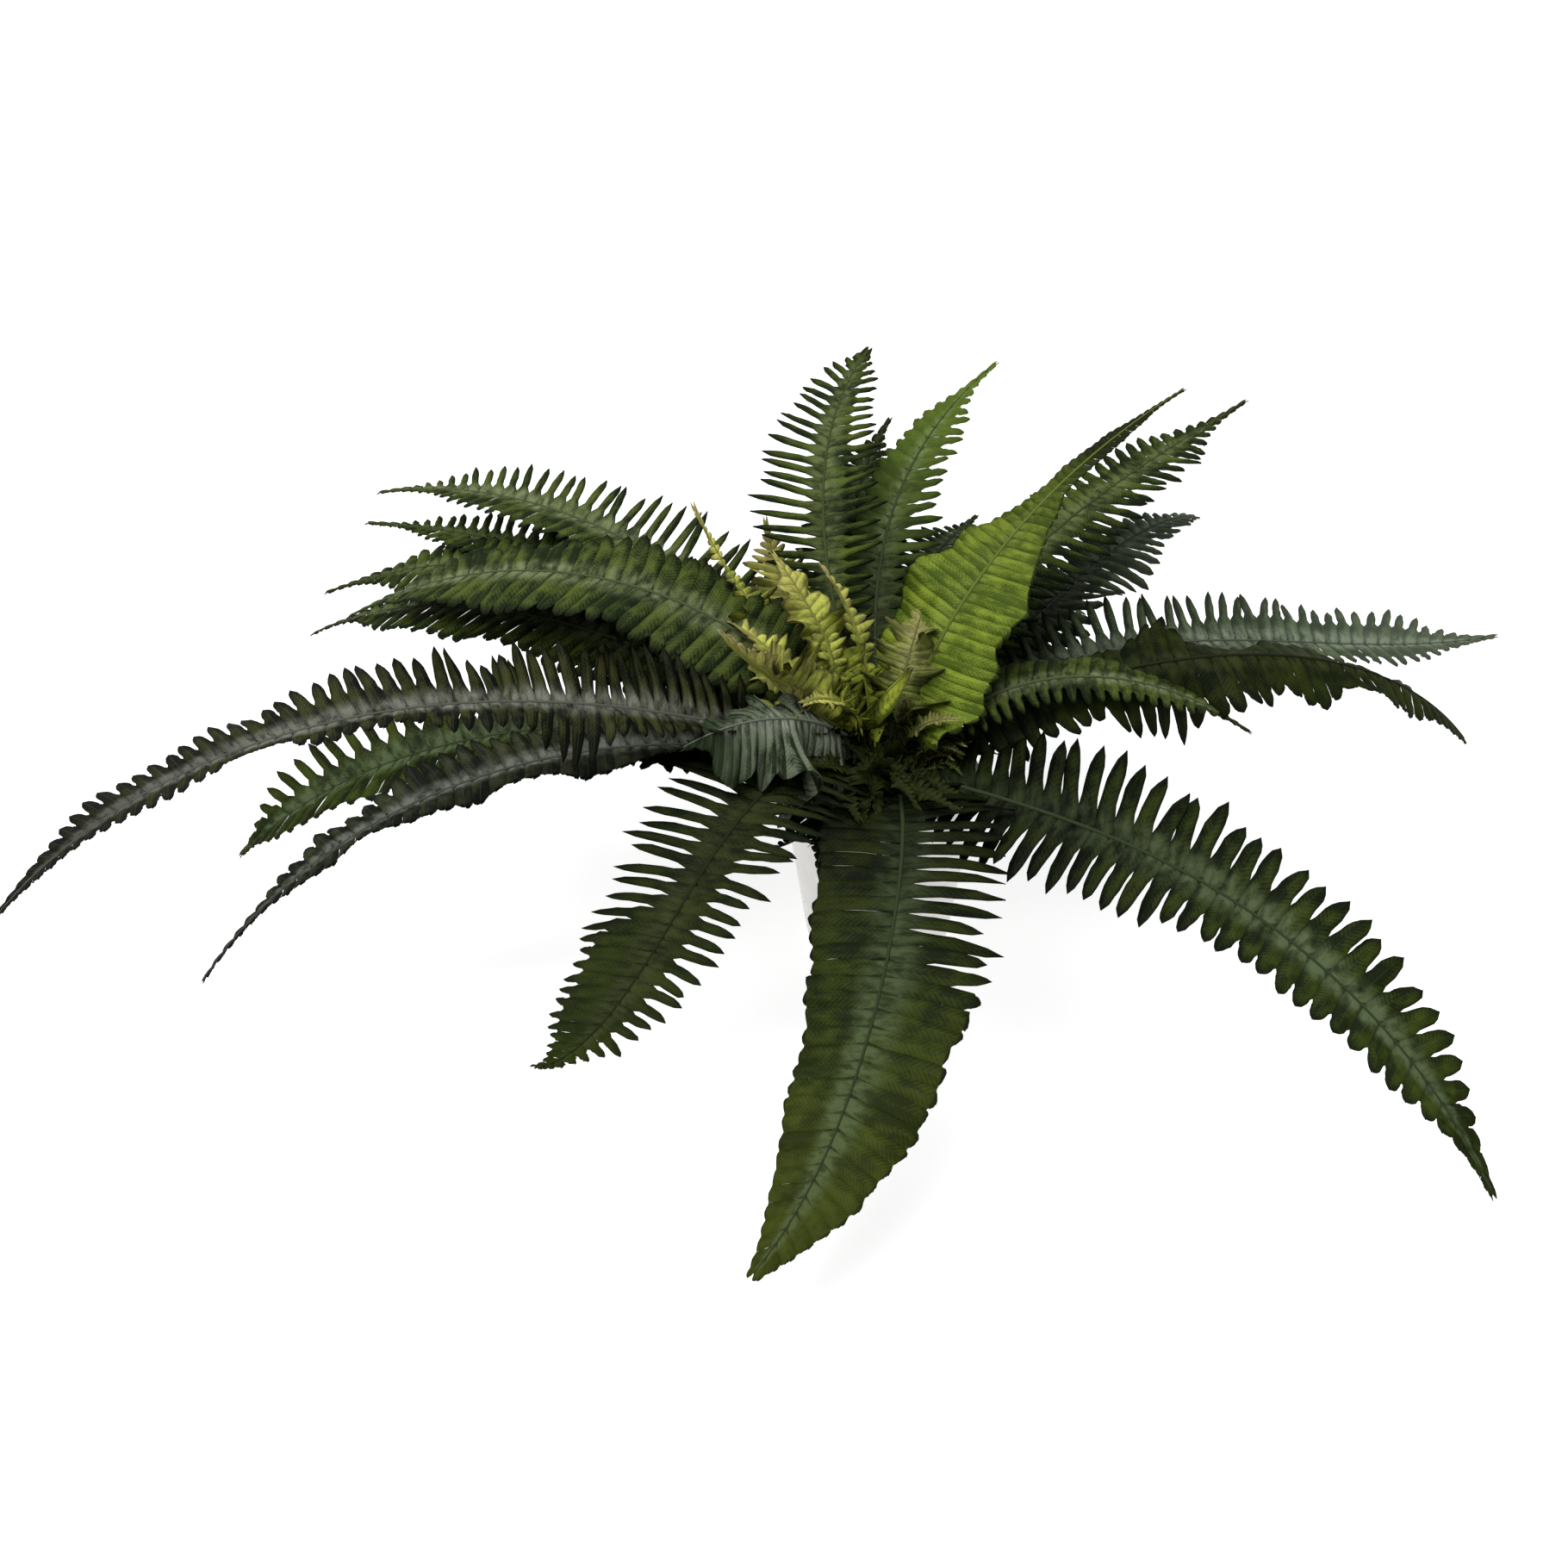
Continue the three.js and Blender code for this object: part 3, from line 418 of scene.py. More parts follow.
def make_leaf_group():
    """A leaflet's colour, gloss and relief from its own UV map and the frond's attributes.

    U runs along a leaflet from the midrib and V across it. "along" is the place on the frond, "tint"
    a number for each leaflet, "stalk" is 1 on the midrib and "free" tells how far a point lies beyond
    the joined part of the blade."""
    patch_scale, streak_scale, grain_scale = 55.0, 160.0, 900.0
    vein_turns, vein_slant = 88.0, -0.12
    t = Tree("leaflet", "ShaderNodeTree",
             dict.fromkeys(LEAF_COLOURS, "Color") | dict.fromkeys(LEAF_AMOUNTS, "Float"),
             {"Colour": "Color", "Roughness": "Float", "Height": "Float"})
    deep, bright, painted_sheen, edge, far = t.values(*LEAF_COLOURS)
    painted_sheen_amount, far_amount, shade_amount, half_shading = t.values(*LEAF_AMOUNTS)
    u, v, _ = t.parts(t.put("ShaderNodeUVMap", uv_map="UVMap"))
    along, tint, stalk, free = (
        Value(t, t.add("ShaderNodeAttribute", attribute_name=name).outputs["Fac"])
        for name in ("along", "tint", "stalk", "free"))
    place = t.add("ShaderNodeTexCoord").outputs["Object"]
    patches = t.noise(place, patch_scale, 3.0)
    streaks = t.noise(place, streak_scale, 3.0)
    grain = t.noise(place, grain_scale, 2.0)
    across = t.math("ABSOLUTE", v * 2.0 - 1.0)
    # side veins run out and forward from the leaflet's own midvein
    waves = t.math("SINE", (across * vein_slant + u) * vein_turns)
    veins = (waves * 0.5 + 0.5) ** 4.0
    midvein = 1.0 - t.math("SMOOTH_MIN", across * 9.0, 1.0, 0.3)
    # each leaflet has its own green, with flecks along it and patches that run over the whole frond
    blotch = t.between(patches, 0.34, 0.66)
    flecks = t.noise(t.combine(u * 4.0, tint * 90.0 + v * 2.5, along * 9.0), 1.0, 4.0)
    flecks = t.between(flecks, 0.33, 0.67)
    share = tint * 0.24 + (flecks * 0.32 + blotch * 0.36)
    # painted light and shade: one half of each leaflet is painted lighter than the other, as if it caught
    # more light
    share = (v - 0.5) * half_shading + share
    share = t.between(share - veins * 0.16 + grain * 0.18, 0.32, 0.78)
    colour = mix(t.tree, share, deep, bright)
    # painted sheen: a paler grey-green along the midrib, growing towards the tip, stands in for the leaf's
    # sheen
    near_rib = t.between(u, 0.42, 0.06, "SMOOTHSTEP")
    painted_sheen_mask = near_rib * (painted_sheen_amount * (along * 1.1 + 0.35)) * ((patches + streaks) * 2.2 - 1.3)
    painted_sheen_mask = painted_sheen_mask * (flecks * 1.5 + 0.25)
    colour = mix(t.tree, t.put("ShaderNodeClamp", {0: painted_sheen_mask}), colour, painted_sheen)
    # painted shade: dark edges, darkest on the free part of a leaflet, stand in for the shade in the seams
    # and gaps between leaflets, and the half shading deepens them
    rim = t.math("MAXIMUM", u ** 1.6, across) ** 3.6
    rim = rim * (t.math("MINIMUM", free * 2.5, 1.0) * 0.8 + (blotch * 0.3 + half_shading * 0.8))
    colour = mix(t.tree, t.put("ShaderNodeClamp", {0: rim}), colour, edge)
    colour = mix(t.tree, along ** 2.2 * far_amount, colour, far)
    # the leaflets' midveins are tinted a little towards the painted sheen colour
    colour = mix(t.tree, midvein * 0.1, colour, painted_sheen)
    # the foot of a frond lies in the plant's own shade
    shade = 1.0 - t.between(along, 0.75, 0.05, "SMOOTHSTEP") * shade_amount
    grey = t.put("ShaderNodeCombineColor", {0: shade, 1: shade, 2: shade})
    colour = mix(t.tree, 1.0, colour, grey, "MULTIPLY")
    # the midrib is coloured halfway to the painted sheen colour, partly its own paler colour and partly
    # painted sheen
    colour = mix(t.tree, stalk * 0.75, colour, mix(t.tree, 0.45, deep, painted_sheen))
    t.out(Colour=colour, Roughness=patches * 0.2 + (stalk * 0.1 + 0.45),
          Height=veins * -0.5 - midvein + grain * 0.4)
    return t.tree


# ---- materials ----
def new_material(name):
    material = bpy.data.materials.new(name)
    material.use_nodes = True
    shader = material.node_tree.nodes["Principled BSDF"]
    return material, material.node_tree, shader


def bump(tree, shader, height, strength, distance):
    node = add_node(tree, "ShaderNodeBump", {"Strength": strength, "Distance": distance, "Height": height})
    tree.links.new(node.outputs[0], shader.inputs["Normal"])


def leaf_material(name, group, finish):
    material, tree, shader = new_material(name)
    values = [(*(part / 1000 for part in colour), 1) for colour in finish[:5]] + list(finish[5:])
    leaf = add_node(tree, "ShaderNodeGroup", dict(zip(LEAF_COLOURS + LEAF_AMOUNTS, values)), node_tree=group)
    tree.links.new(leaf.outputs["Colour"], shader.inputs["Base Color"])
    tree.links.new(leaf.outputs["Roughness"], shader.inputs["Roughness"])
    bump(tree, shader, leaf.outputs["Height"], 0.35, 0.0006)
    shader.inputs["Specular IOR Level"].default_value = 0.04
    return material


def glaze_material(mottle):
    material, tree, shader = new_material("pot_glaze")
    cloud = add_node(tree, "ShaderNodeGroup", {"Size": 0.035, "Detail": 3.0}, node_tree=mottle)
    speck = add_node(tree, "ShaderNodeGroup", {"Size": 0.0011, "Detail": 1.0}, node_tree=mottle)
    base = ramp(tree, cloud.outputs[0], (0.3, (0.78, 0.77, 0.74)), (0.7, (0.86, 0.85, 0.82)))
    specks = ramp(tree, speck.outputs[0], (0.72, (1, 1, 1)), (0.8, (0.62, 0.55, 0.46)))
    gloss = ramp(tree, cloud.outputs[0], (0.3, (0.22,) * 3), (0.7, (0.34,) * 3))
    tree.links.new(mix(tree, 1.0, base, specks, "MULTIPLY"), shader.inputs["Base Color"])
    tree.links.new(gloss, shader.inputs["Roughness"])
    bump(tree, shader, cloud.outputs[0], 0.15, 0.001)
    return material


def earthy_material(name, mottle, stops, size, detail, roughness, strength, distance):
    """A dull crumbly or fibrous finish, mottled through the colours of stops."""
    material, tree, shader = new_material(name)
    mask = add_node(tree, "ShaderNodeGroup", {"Size": size, "Detail": detail}, node_tree=mottle).outputs[0]
    tree.links.new(ramp(tree, mask, *stops), shader.inputs["Base Color"])
    shader.inputs["Roughness"].default_value = roughness
    bump(tree, shader, mask, strength, distance)
    return material


def floor_material():
    material, tree, shader = new_material("studio_floor")
    place = add_node(tree, "ShaderNodeTexCoord").outputs["Object"]
    cloud = add_node(tree, "ShaderNodeTexNoise", {"Vector": place, "Scale": 1.5}).outputs[0]
    tree.links.new(ramp(tree, cloud, (0.3, (0.36,) * 3), (0.7, (0.38,) * 3)), shader.inputs["Base Color"])
    for socket, value in (("Roughness", 0.9), ("Specular IOR Level", 0.1),
                          ("Emission Color", (1, 1, 1, 1)), ("Emission Strength", 0.82)):
        shader.inputs[socket].default_value = value
    return material


# ---- objects and meshes ----
def new_object(name, data, collection=None):
    piece = bpy.data.objects.new(name, data)
    (collection or bpy.context.scene.collection).objects.link(piece)
    return piece


def mesh_object(name, points, faces, collection=None):
    mesh = bpy.data.meshes.new(name)
    mesh.from_pydata(points, [], faces)
    return new_object(name, mesh, collection)


def turned_piece(name, profile, segments, shape=None):
    """A turned body about Z from (radius, height) pairs in millimetres; its ends lie on the axis."""
    points, faces, rings = [], [], []
    for radius, height in profile:
        if radius == 0:
            points.append((0, 0, height * MM))
            rings.append([len(points) - 1] * segments)
            continue
        ring = []
        for i in range(segments):
            turn = 2 * math.pi * i / segments
            swell, lift = shape(radius, height) if shape else (0, 0)
            r = radius + swell
            points.append((r * math.cos(turn) * MM, r * math.sin(turn) * MM, (height + lift) * MM))
            ring.append(len(points) - 1)
        rings.append(ring)
    for low, high in zip(rings, rings[1:]):
        for i in range(segments):
            j = (i + 1) % segments
            faces.append(tuple(dict.fromkeys((low[i], low[j], high[j], high[i]))))
    return mesh_object(name, points, faces)


def evaluated_mesh(piece, name):
    """A plain piece from an object's modifiers, which takes its place."""
    graph = bpy.context.evaluated_depsgraph_get()
    graph.update()
    mesh = bpy.data.meshes.new_from_object(piece.evaluated_get(graph), depsgraph=graph)
    mesh.name = name
    bpy.data.objects.remove(piece)
    return new_object(name, mesh)


def grow(piece, tree, **values):
    """Adds a Geometry Nodes modifier and sets its inputs by their sockets' identifiers."""
    modifier = piece.modifiers.new(tree.name, "NODES")
    modifier.node_group = tree
    for item in tree.interface.items_tree:
        if item.item_type == "SOCKET" and item.in_out == "INPUT":
            key = item.name.replace(" ", "_")
            if key in values:
                modifier[item.identifier] = values[key]


# ---- leaflet, scale and crumb forms ----
def leaflet_sheet(name, rows):
    """A closed leaflet laid out flat: X is 0 at the midrib and 1 at its end, Y runs from -1 to 1
    across it, and Z is 1 or -1 for its skin and 0 at its edges."""
    across = (-1, -0.5, 0, 0.5, 1)
    columns = len(across)
    points = [(i / rows, v, 0 if abs(v) == 1 or i in (0, rows) else skin)
              for skin in (1, -1) for i in range(rows + 1) for v in across]
    half = (rows + 1) * columns
    faces = []
    for i in range(rows):
        for j in range(columns - 1):
            a = i * columns + j
            b = a + columns
            faces.append((a, b, b + 1, a + 1))
            faces.append((half + a, half + a + 1, half + b + 1, half + b))
    piece = mesh_object(name, points, faces)
    work = bmesh.new()
    work.from_mesh(piece.data)
    bmesh.ops.remove_doubles(work, verts=work.verts, dist=1e-6)
    for edge in work.edges:
        edge.smooth = any(vert.co.z != 0 for vert in edge.verts)
    for face in work.faces:
        face.smooth = True
    work.to_mesh(piece.data)
    work.free()
    return piece


def scale_form(name, collection, seed):
    """A dry pointed scale 1 long, a curled four-sided blade."""
    curl = 0.15 + 0.35 * random.Random(seed).random()
    points = []
    for u, wide in ((0, 0.16), (0.35, 0.26), (0.7, 0.15), (1, 0.02)):
        z = curl * u * u
        points += [(u, -wide, z), (u, 0, z + 0.06), (u, wide, z), (u, 0, z - 0.04)]
    faces = [(0, 3, 2, 1), (12, 13, 14, 15)]
    for i in range(3):
        for j in range(4):
            a, b = 4 * i + j, 4 * i + (j + 1) % 4
            faces.append((a, b, b + 4, a + 4))
    mesh_object(name, points, faces, collection)


def crumb_form(name, collection, seed):
    """A lump of soil about 1 across."""
    rng = random.Random(seed)
    work = bmesh.new()
    bmesh.ops.create_icosphere(work, subdivisions=1, radius=0.5)
    for vert in work.verts:
        vert.co *= 0.75 + 0.5 * rng.random()
    mesh = bpy.data.meshes.new(name)
    work.to_mesh(mesh)
    work.free()
    new_object(name, mesh, collection)


# ---- geometry trees ----
def blade_side(t, line, side):
    """One row of leaflets, bent along the midrib: side is 1 for the left and -1 for the right.

    The leaflets are laid out flat in a unit square, and each point is then moved to its place on
    the frond, so that neighbours meet edge to edge as far as the blade is joined."""
    scallops, scallop_depth = 25.0, 0.07
    most_ragged, most_swayed, most_bent = 0.09, 0.1, 0.13
    quilt_height, shingle_height = 0.2, 0.04
    word = "left" if side > 0 else "right"
    pairs, start, pitch = t.values("Pairs", "Blade Start", "Pitch")
    cover, crinkling, seed = t.values("Cover", "Wave", "Seed")

    # offset keeps the numbers that draw and wave give for one seed apart
    def draw(low, high, offset):
        return t.random(seed + float(offset * 2 + side), low, high)

    def sample(name, factor):
        """The midrib line and one of its attributes at factor."""
        node = t.add("GeometryNodeSampleCurve", {"Curves": line, "Factor": factor},
                     data_type="FLOAT_VECTOR", mode="FACTOR", use_all_curves=True)
        t.tree.links.new(t.named(name, "FLOAT_VECTOR").socket, node.inputs["Value"])
        return node, t.parts(node.outputs["Value"])

    def wave(factor, scale, offset):
        turn = factor * scale + (seed * 3.7 + float(offset + side))
        inputs = {"W": turn, "Scale": 1.0, "Detail": 1.0}
        return Value(t, t.put("ShaderNodeTexNoise", inputs, noise_dimensions="1D")) - 0.5

    def moved(place, *steps):
        """A place after a step of some length along each of several axes."""
        for axis, distance in steps:
            place = t.vector("ADD", place, t.vector("SCALE", axis, distance))
        return place

    spots = t.put("GeometryNodePoints", {"Count": pairs})
    sheet = t.add("GeometryNodeObjectInfo", {"Object": t.entry["Leaflet"]}).outputs["Geometry"]
    row = t.put("GeometryNodeInstanceOnPoints", {"Points": spots, "Instance": sheet})
    index = Value(t, t.put("GeometryNodeInputIndex"))
    for name, value in (("along", (index + 0.5) / pairs), ("tint", draw(0, 1, 3)), ("bend", draw(-1, 1, 5)),
                        ("reach", draw(-1, 1, 7)), ("sway", draw(-1, 1, 9))):
        row = t.store(row, name, value, "INSTANCE")
    row = t.put("GeometryNodeRealizeInstances", {0: row})
    # where the point lies on its own leaflet
    outwards, sideways, skin = t.parts(t.put("GeometryNodeInputPosition"))
    along = t.named("along")
    span = 1.0 - start
    web = sample(f"{word}_shape", along * span + start)[1][2]
    joined = t.math("MINIMUM", outwards / JOINED_ROWS, 1.0)
    free = t.math("MAXIMUM", (outwards - JOINED_ROWS) / (1 - JOINED_ROWS), 0.0)
    u = free * (1.0 - web) + joined * web
    # its width: whole where joined, then narrower and pointed
    point = (1.0 - (free * 0.998) ** (web * -3.0 + 4.6)) ** 0.66
    narrow = t.between(free, 0.0, 0.16, "SMOOTHSTEP") * (cover - 1.0) + 1.0
    scallop = t.math("SINE", free * scallops + t.named("tint") * 6.28) * (free * scallop_depth) + 1.02
    width = point * narrow * scallop
    spot = along + sideways * width / pairs * 0.5
    factor = spot * span + start
    curve, (reach, lift, _) = sample(f"{word}_shape", factor)
    lean_left, lean_right, droop = sample("pose", factor)[1]
    # the frame of the midrib there, raised by the side's lift
    tangent = curve.outputs["Tangent"]
    left = t.vector("NORMALIZE", t.vector("CROSS_PRODUCT", (0, 0, 1), tangent))
    up = t.vector("CROSS_PRODUCT", tangent, left)
    level, steep = t.math("COSINE", lift), t.math("SINE", lift)
    out = moved(t.vector("SCALE", left, level * float(side)), (up, steep))
    normal = moved(t.vector("SCALE", left, steep * -float(side)), (up, level))
    # lengths out, forward and upward
    steady = t.math("MINIMUM", along * -4.0 + 4.0, 1.0)
    crinkle = crinkling * steady
    ragged = free * steady * (1.2 - web)
    grown = t.named("reach") * ragged * most_ragged + 1.0 + wave(spot, 9.0, 11) * crinkle
    length = reach * grown
    u2 = u * u
    swayed = t.named("sway") * free * most_swayed + (lean_left if side > 0 else lean_right) * u
    forward = length * (u2 * 0.1 + swayed)
    rise = u2 * (wave(spot, 6.0, 23) * (crinkle * 2.2) - droop)
    rise = t.named("bend") * free * ((1.0 - web) * most_bent) + rise
    # leaflets swell between their edges, overlap like shingles and have a thin skin
    swollen = wave(along + outwards, 14.0, 37) * quilt_height - 0.08
    swollen = swollen * (t.between(u, 0.04, 0.3, "SMOOTHSTEP") * pitch)
    quilt = sideways * sideways * swollen
    shingle = sideways * free * (pitch * shingle_height)
    rise = rise * length + quilt + (shingle + skin * (LEAFLET_THICKNESS / 2 * MM))
    place = moved(curve.outputs["Position"], (out, length * u), (tangent, forward), (normal, rise))
    row = t.store(row, "UVMap", t.combine(u, sideways * 0.5 + 0.5), "CORNER", "FLOAT2")
    row = t.store(row, "free", free, "POINT")
    row = t.put("GeometryNodeSetPosition", {"Geometry": row, "Position": place})
    return t.put("GeometryNodeFlipFaces", {"Mesh": row}) if side > 0 else row


def make_frond_tree():
    """Grows the midrib and both rows of leaflets along a midrib line.

    The line's points carry stalk_radius, left_shape and right_shape (reach, lift and web) and
    pose (lean on the left and right, and droop)."""
    t = Tree("frond", "GeometryNodeTree",
             {"Geometry": "Geometry", "Pairs": "Int", "Blade Start": "Float", "Pitch": "Float",
              "Cover": "Float", "Wave": "Float", "Seed": "Int", "Leaflet": "Object", "Leaf": "Material"},
             {"Geometry": "Geometry"})
    line = t.put("GeometryNodeMeshToCurve", {0: t.entry["Geometry"]})
    radius = t.named("stalk_radius")
    sized = t.put("GeometryNodeSetCurveRadius", {"Curve": line, "Radius": radius})
    ring = t.put("GeometryNodeCurvePrimitiveCircle", {"Resolution": 8, "Radius": 1.0})
    rib = t.put("GeometryNodeCurveToMesh", {"Curve": sized, "Profile Curve": ring, "Scale": radius,
                                            "Fill Caps": True})
    rib = t.store(rib, "stalk", 1.0, "POINT")
    t.dress([rib, blade_side(t, line, 1), blade_side(t, line, -1)], t.entry["Leaf"])
    return t.tree


def make_scatter_tree(name, keep_surface):
    """Scatters forms over a surface, leaning outwards from the axis."""
    t = Tree(name, "GeometryNodeTree",
             {"Geometry": "Geometry", "Forms": "Collection", "Density": "Float", "Smallest": "Float",
              "Largest": "Float", "Lean": "Float", "Wildness": "Float", "Lowest": "Float",
              "Widest": "Float", "Seed": "Int", "Finish": "Material"}, {"Geometry": "Geometry"})
    surface = t.entry["Geometry"]
    seed, smallest, largest = t.values("Seed", "Smallest", "Largest")
    x, y, z = t.parts(t.put("GeometryNodeInputPosition"))
    flat = t.combine(x, y)
    radius = t.add("ShaderNodeVectorMath", {0: flat}, operation="LENGTH").outputs[1]
    inside = t.math("GREATER_THAN", z, t.entry["Lowest"]) * t.math("LESS_THAN", radius, t.entry["Widest"])
    points = t.add("GeometryNodeDistributePointsOnFaces", {
        "Mesh": surface, "Selection": inside, "Density": t.entry["Density"], "Seed": seed},
        distribute_method="RANDOM").outputs
    outward = t.vector("NORMALIZE", t.vector("ADD", flat, (0.0001, 0.0, 0.0)))
    wild = t.put("FunctionNodeRandomValue", {"Seed": seed, 0: (-0.5,) * 3, 1: (0.5,) * 3},
                 data_type="FLOAT_VECTOR")
    aim = t.vector("ADD", points["Normal"], t.vector("SCALE", wild, t.entry["Wildness"]))
    aim = t.vector("NORMALIZE", t.vector("ADD", aim, t.vector("SCALE", outward, t.entry["Lean"])))
    turn = t.put("FunctionNodeAxesToRotation", {"Primary Axis": aim, "Secondary Axis": points["Normal"]},
                 primary_axis="X", secondary_axis="Z")
    forms = t.put("GeometryNodeCollectionInfo", {
        "Collection": t.entry["Forms"], "Separate Children": True, "Reset Children": True})
    placed = t.put("GeometryNodeInstanceOnPoints", {
        "Points": points["Points"], "Instance": forms, "Pick Instance": True, "Rotation": turn,
        "Scale": t.random(seed + 7.0, smallest, largest)})
    placed = t.store(placed, "tint", t.random(seed), "INSTANCE")
    t.dress([surface, placed] if keep_surface else [placed], t.entry["Finish"])
    return t.tree


# ---- fronds ----
def crown_height(radius):
    return SOIL_TOP + CROWN_HEIGHT * math.sqrt(max(0, 1 - (radius / (CROWN_RADIUS + 2)) ** 2.6))


def smoothstep(x, low, high):
    t = min(1, max(0, (x - low) / (high - low)))
    return t * t * (3 - 2 * t)


def midrib(frond, steps):
    """Points and directions along a frond's midrib, evenly spaced from foot to tip."""
    seat, ring = math.radians(frond["seat"]), frond["ring"]
    foot, middle, tip = frond["slope"]
    points = [Vector((ring * math.cos(seat), ring * math.sin(seat), crown_height(ring)))]
    directions = []
    for i in range(steps + 1):
        t = i / steps
        slope = math.radians(foot * (1 - t) * (1 - 2 * t) + middle * 4 * t * (1 - t) + tip * t * (2 * t - 1))
        turn = math.radians(frond["heading"] + frond["swing"] * t)
        level = math.cos(slope)
        directions.append(Vector((level * math.cos(turn), level * math.sin(turn), math.sin(slope))))
    for i in range(steps):
        points.append(points[i] + (directions[i] + directions[i + 1]) * (0.5 * frond["length"] / steps))
    return points, directions


def leaflet_reach(frond, side, s):
    """The length of a side's leaflets at s, from 0 at the first pair to 1 at the tip."""
    first, full = frond["swell"]
    swell = min(1, first + (1 - first) * s / full)
    narrowing = 1 - frond["tail"][side] * smoothstep(s, *TAIL_SPAN)
    blade = swell * narrowing * (1 - min(s, 1) ** frond["full"]) ** 0.8 + 0.07 * (1 - s)
    amount, start = frond["tip"]
    blade *= 1 - amount * smoothstep(s, start, min(0.99, start + TIP_SPAN))
    return frond["half"][side] * blade + SHORTEST_LEAFLET


def frond_line(name, frond, steps):
    """The midrib as a line of edges that carries what the leaflets need at each point."""
    points, directions = midrib(frond, steps)
    line = [points[0] - directions[0] * STIPE_DEPTH, *points]
    mesh = bpy.data.meshes.new(name)
    mesh.from_pydata([p * MM for p in line], [(i, i + 1) for i in range(len(line) - 1)], [])
    radii, pose, shapes = [], [], ([], [])
    for i in range(-1, steps + 1):
        t = max(i, 0) / steps
        s = max(0, (t - frond["bare"]) / (1 - frond["bare"]))
        radii.append((STIPE_RADIUS * (1 - 0.72 * t) - 0.05) * MM)
        # leaflets lean on their own near the foot and all turn forward at the tip
        for lean in frond["lean"]:
            pose.append(math.tan(math.radians(lean * (1 - s ** 2) + 30 * s ** 2.5 + 44 * s ** 12)))
        pose.append(frond["droop"])
        for side, shape in enumerate(shapes):
            near, far = (frond["web"] * 2)[2 * side:2 * side + 2]
            web = near + (far - near) * smoothstep(s, *frond["join"])
            web += (TIP_WEB - web) * smoothstep(s, *TIP_WEB_SPAN)
            shape += [leaflet_reach(frond, side, s) * MM, math.radians(frond["lift"][side]), web]
    mesh.attributes.new("stalk_radius", "FLOAT", "POINT").data.foreach_set("value", radii)
    for key, numbers in (("pose", pose), ("left_shape", shapes[0]), ("right_shape", shapes[1])):
        mesh.attributes.new(key, "FLOAT_VECTOR", "POINT").data.foreach_set("vector", numbers)
    return new_object(name, mesh)


def make_frond(node, frond, tree, leaflet, materials, seed):
    line = frond_line(f"{node}_line", frond, RIB_STEPS)
    blade = frond["length"] * (1 - frond["bare"])
    start = (STIPE_DEPTH + frond["bare"] * frond["length"]) / (STIPE_DEPTH + frond["length"])
    pairs = round(blade / frond["pitch"])
    grow(line, tree, Pairs=pairs, Blade_Start=start, Pitch=blade / pairs * MM, Cover=frond["cover"],
         Wave=frond["wave"], Seed=seed, Leaflet=leaflet, Leaf=materials[frond["leaf"]])
    piece = evaluated_mesh(line, f"{node}_leaves")
    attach(piece, "root")
    slots = {part["node"]: part["material_slot"] for part in frame["record"]["subparts"]}
    if node in slots:
        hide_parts(node)


# ---- pot, soil and crown ----
def pot_radius(height):
    grown = POT_RIM_RADIUS - POT_RIM_STEP - POT_BASE_RADIUS
    return POT_BASE_RADIUS + grown * height / (POT_HEIGHT - POT_RIM_BAND)


def make_pot(material):
    band = POT_HEIGHT - POT_RIM_BAND
    foot_round, band_round, lip_round, mouth_round = 2, 1.6, 2.1, 1.4

    def inner(height):
        return pot_radius(height) - POT_WALL

    def corner(x, z, radius, start, end, steps=5):
        for i in range(steps + 1):
            a = math.radians(start + (end - start) * i / steps)
            yield (x + radius * math.cos(a), z + radius * math.sin(a))

    profile = [(0, 0), (POT_BASE_RADIUS - 6, 0)]
    profile += corner(POT_BASE_RADIUS - foot_round, foot_round, foot_round, -90, -6)
    profile += [(pot_radius(h), h) for h in range(6, band, 10)]
    profile += [(pot_radius(band - 0.6), band - 0.6)]
    profile += corner(POT_RIM_RADIUS - band_round, band + 1.8, band_round, -90, 0)
    profile += [(POT_RIM_RADIUS, band + 5), (POT_RIM_RADIUS, POT_HEIGHT - 4)]
    profile += corner(POT_RIM_RADIUS - lip_round, POT_HEIGHT - lip_round, lip_round, 0, 90)
    profile += corner(inner(POT_HEIGHT) + mouth_round, POT_HEIGHT - mouth_round, mouth_round, 90, 180)
    profile += [(inner(h), h) for h in range(POT_HEIGHT - 8, POT_FLOOR + 4, -10)]
    profile += [(inner(POT_FLOOR) - 0.4, POT_FLOOR + 0.6), (inner(POT_FLOOR) - 2, POT_FLOOR), (0, POT_FLOOR)]
    pot = turned_piece("glazed_pot", profile, POT_SEGMENTS)
    for i in range(DRAIN_HOLES):
        turn = 2 * math.pi * (i + 0.5) / DRAIN_HOLES
        bpy.ops.mesh.primitive_cylinder_add(
            vertices=28, radius=DRAIN_HOLE_RADIUS * MM, depth=(POT_FLOOR + 6) * MM,
            location=(DRAIN_HOLE_CIRCLE * math.cos(turn) * MM, DRAIN_HOLE_CIRCLE * math.sin(turn) * MM,
                      POT_FLOOR / 2 * MM))
        cutter = bpy.context.object
        cut = pot.modifiers.new("drain", "BOOLEAN")
        cut.operation, cut.object, cut.solver = "DIFFERENCE", cutter, "EXACT"
        pot = evaluated_mesh(pot, "glazed_pot")
        bpy.data.objects.remove(cutter)
    pot.data.shade_smooth()
    pot.data.set_sharp_from_angle(angle=math.radians(40))
    pot.data.materials.clear()
    pot.data.materials.append(material)
    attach(pot, "root")
    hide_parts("pot")


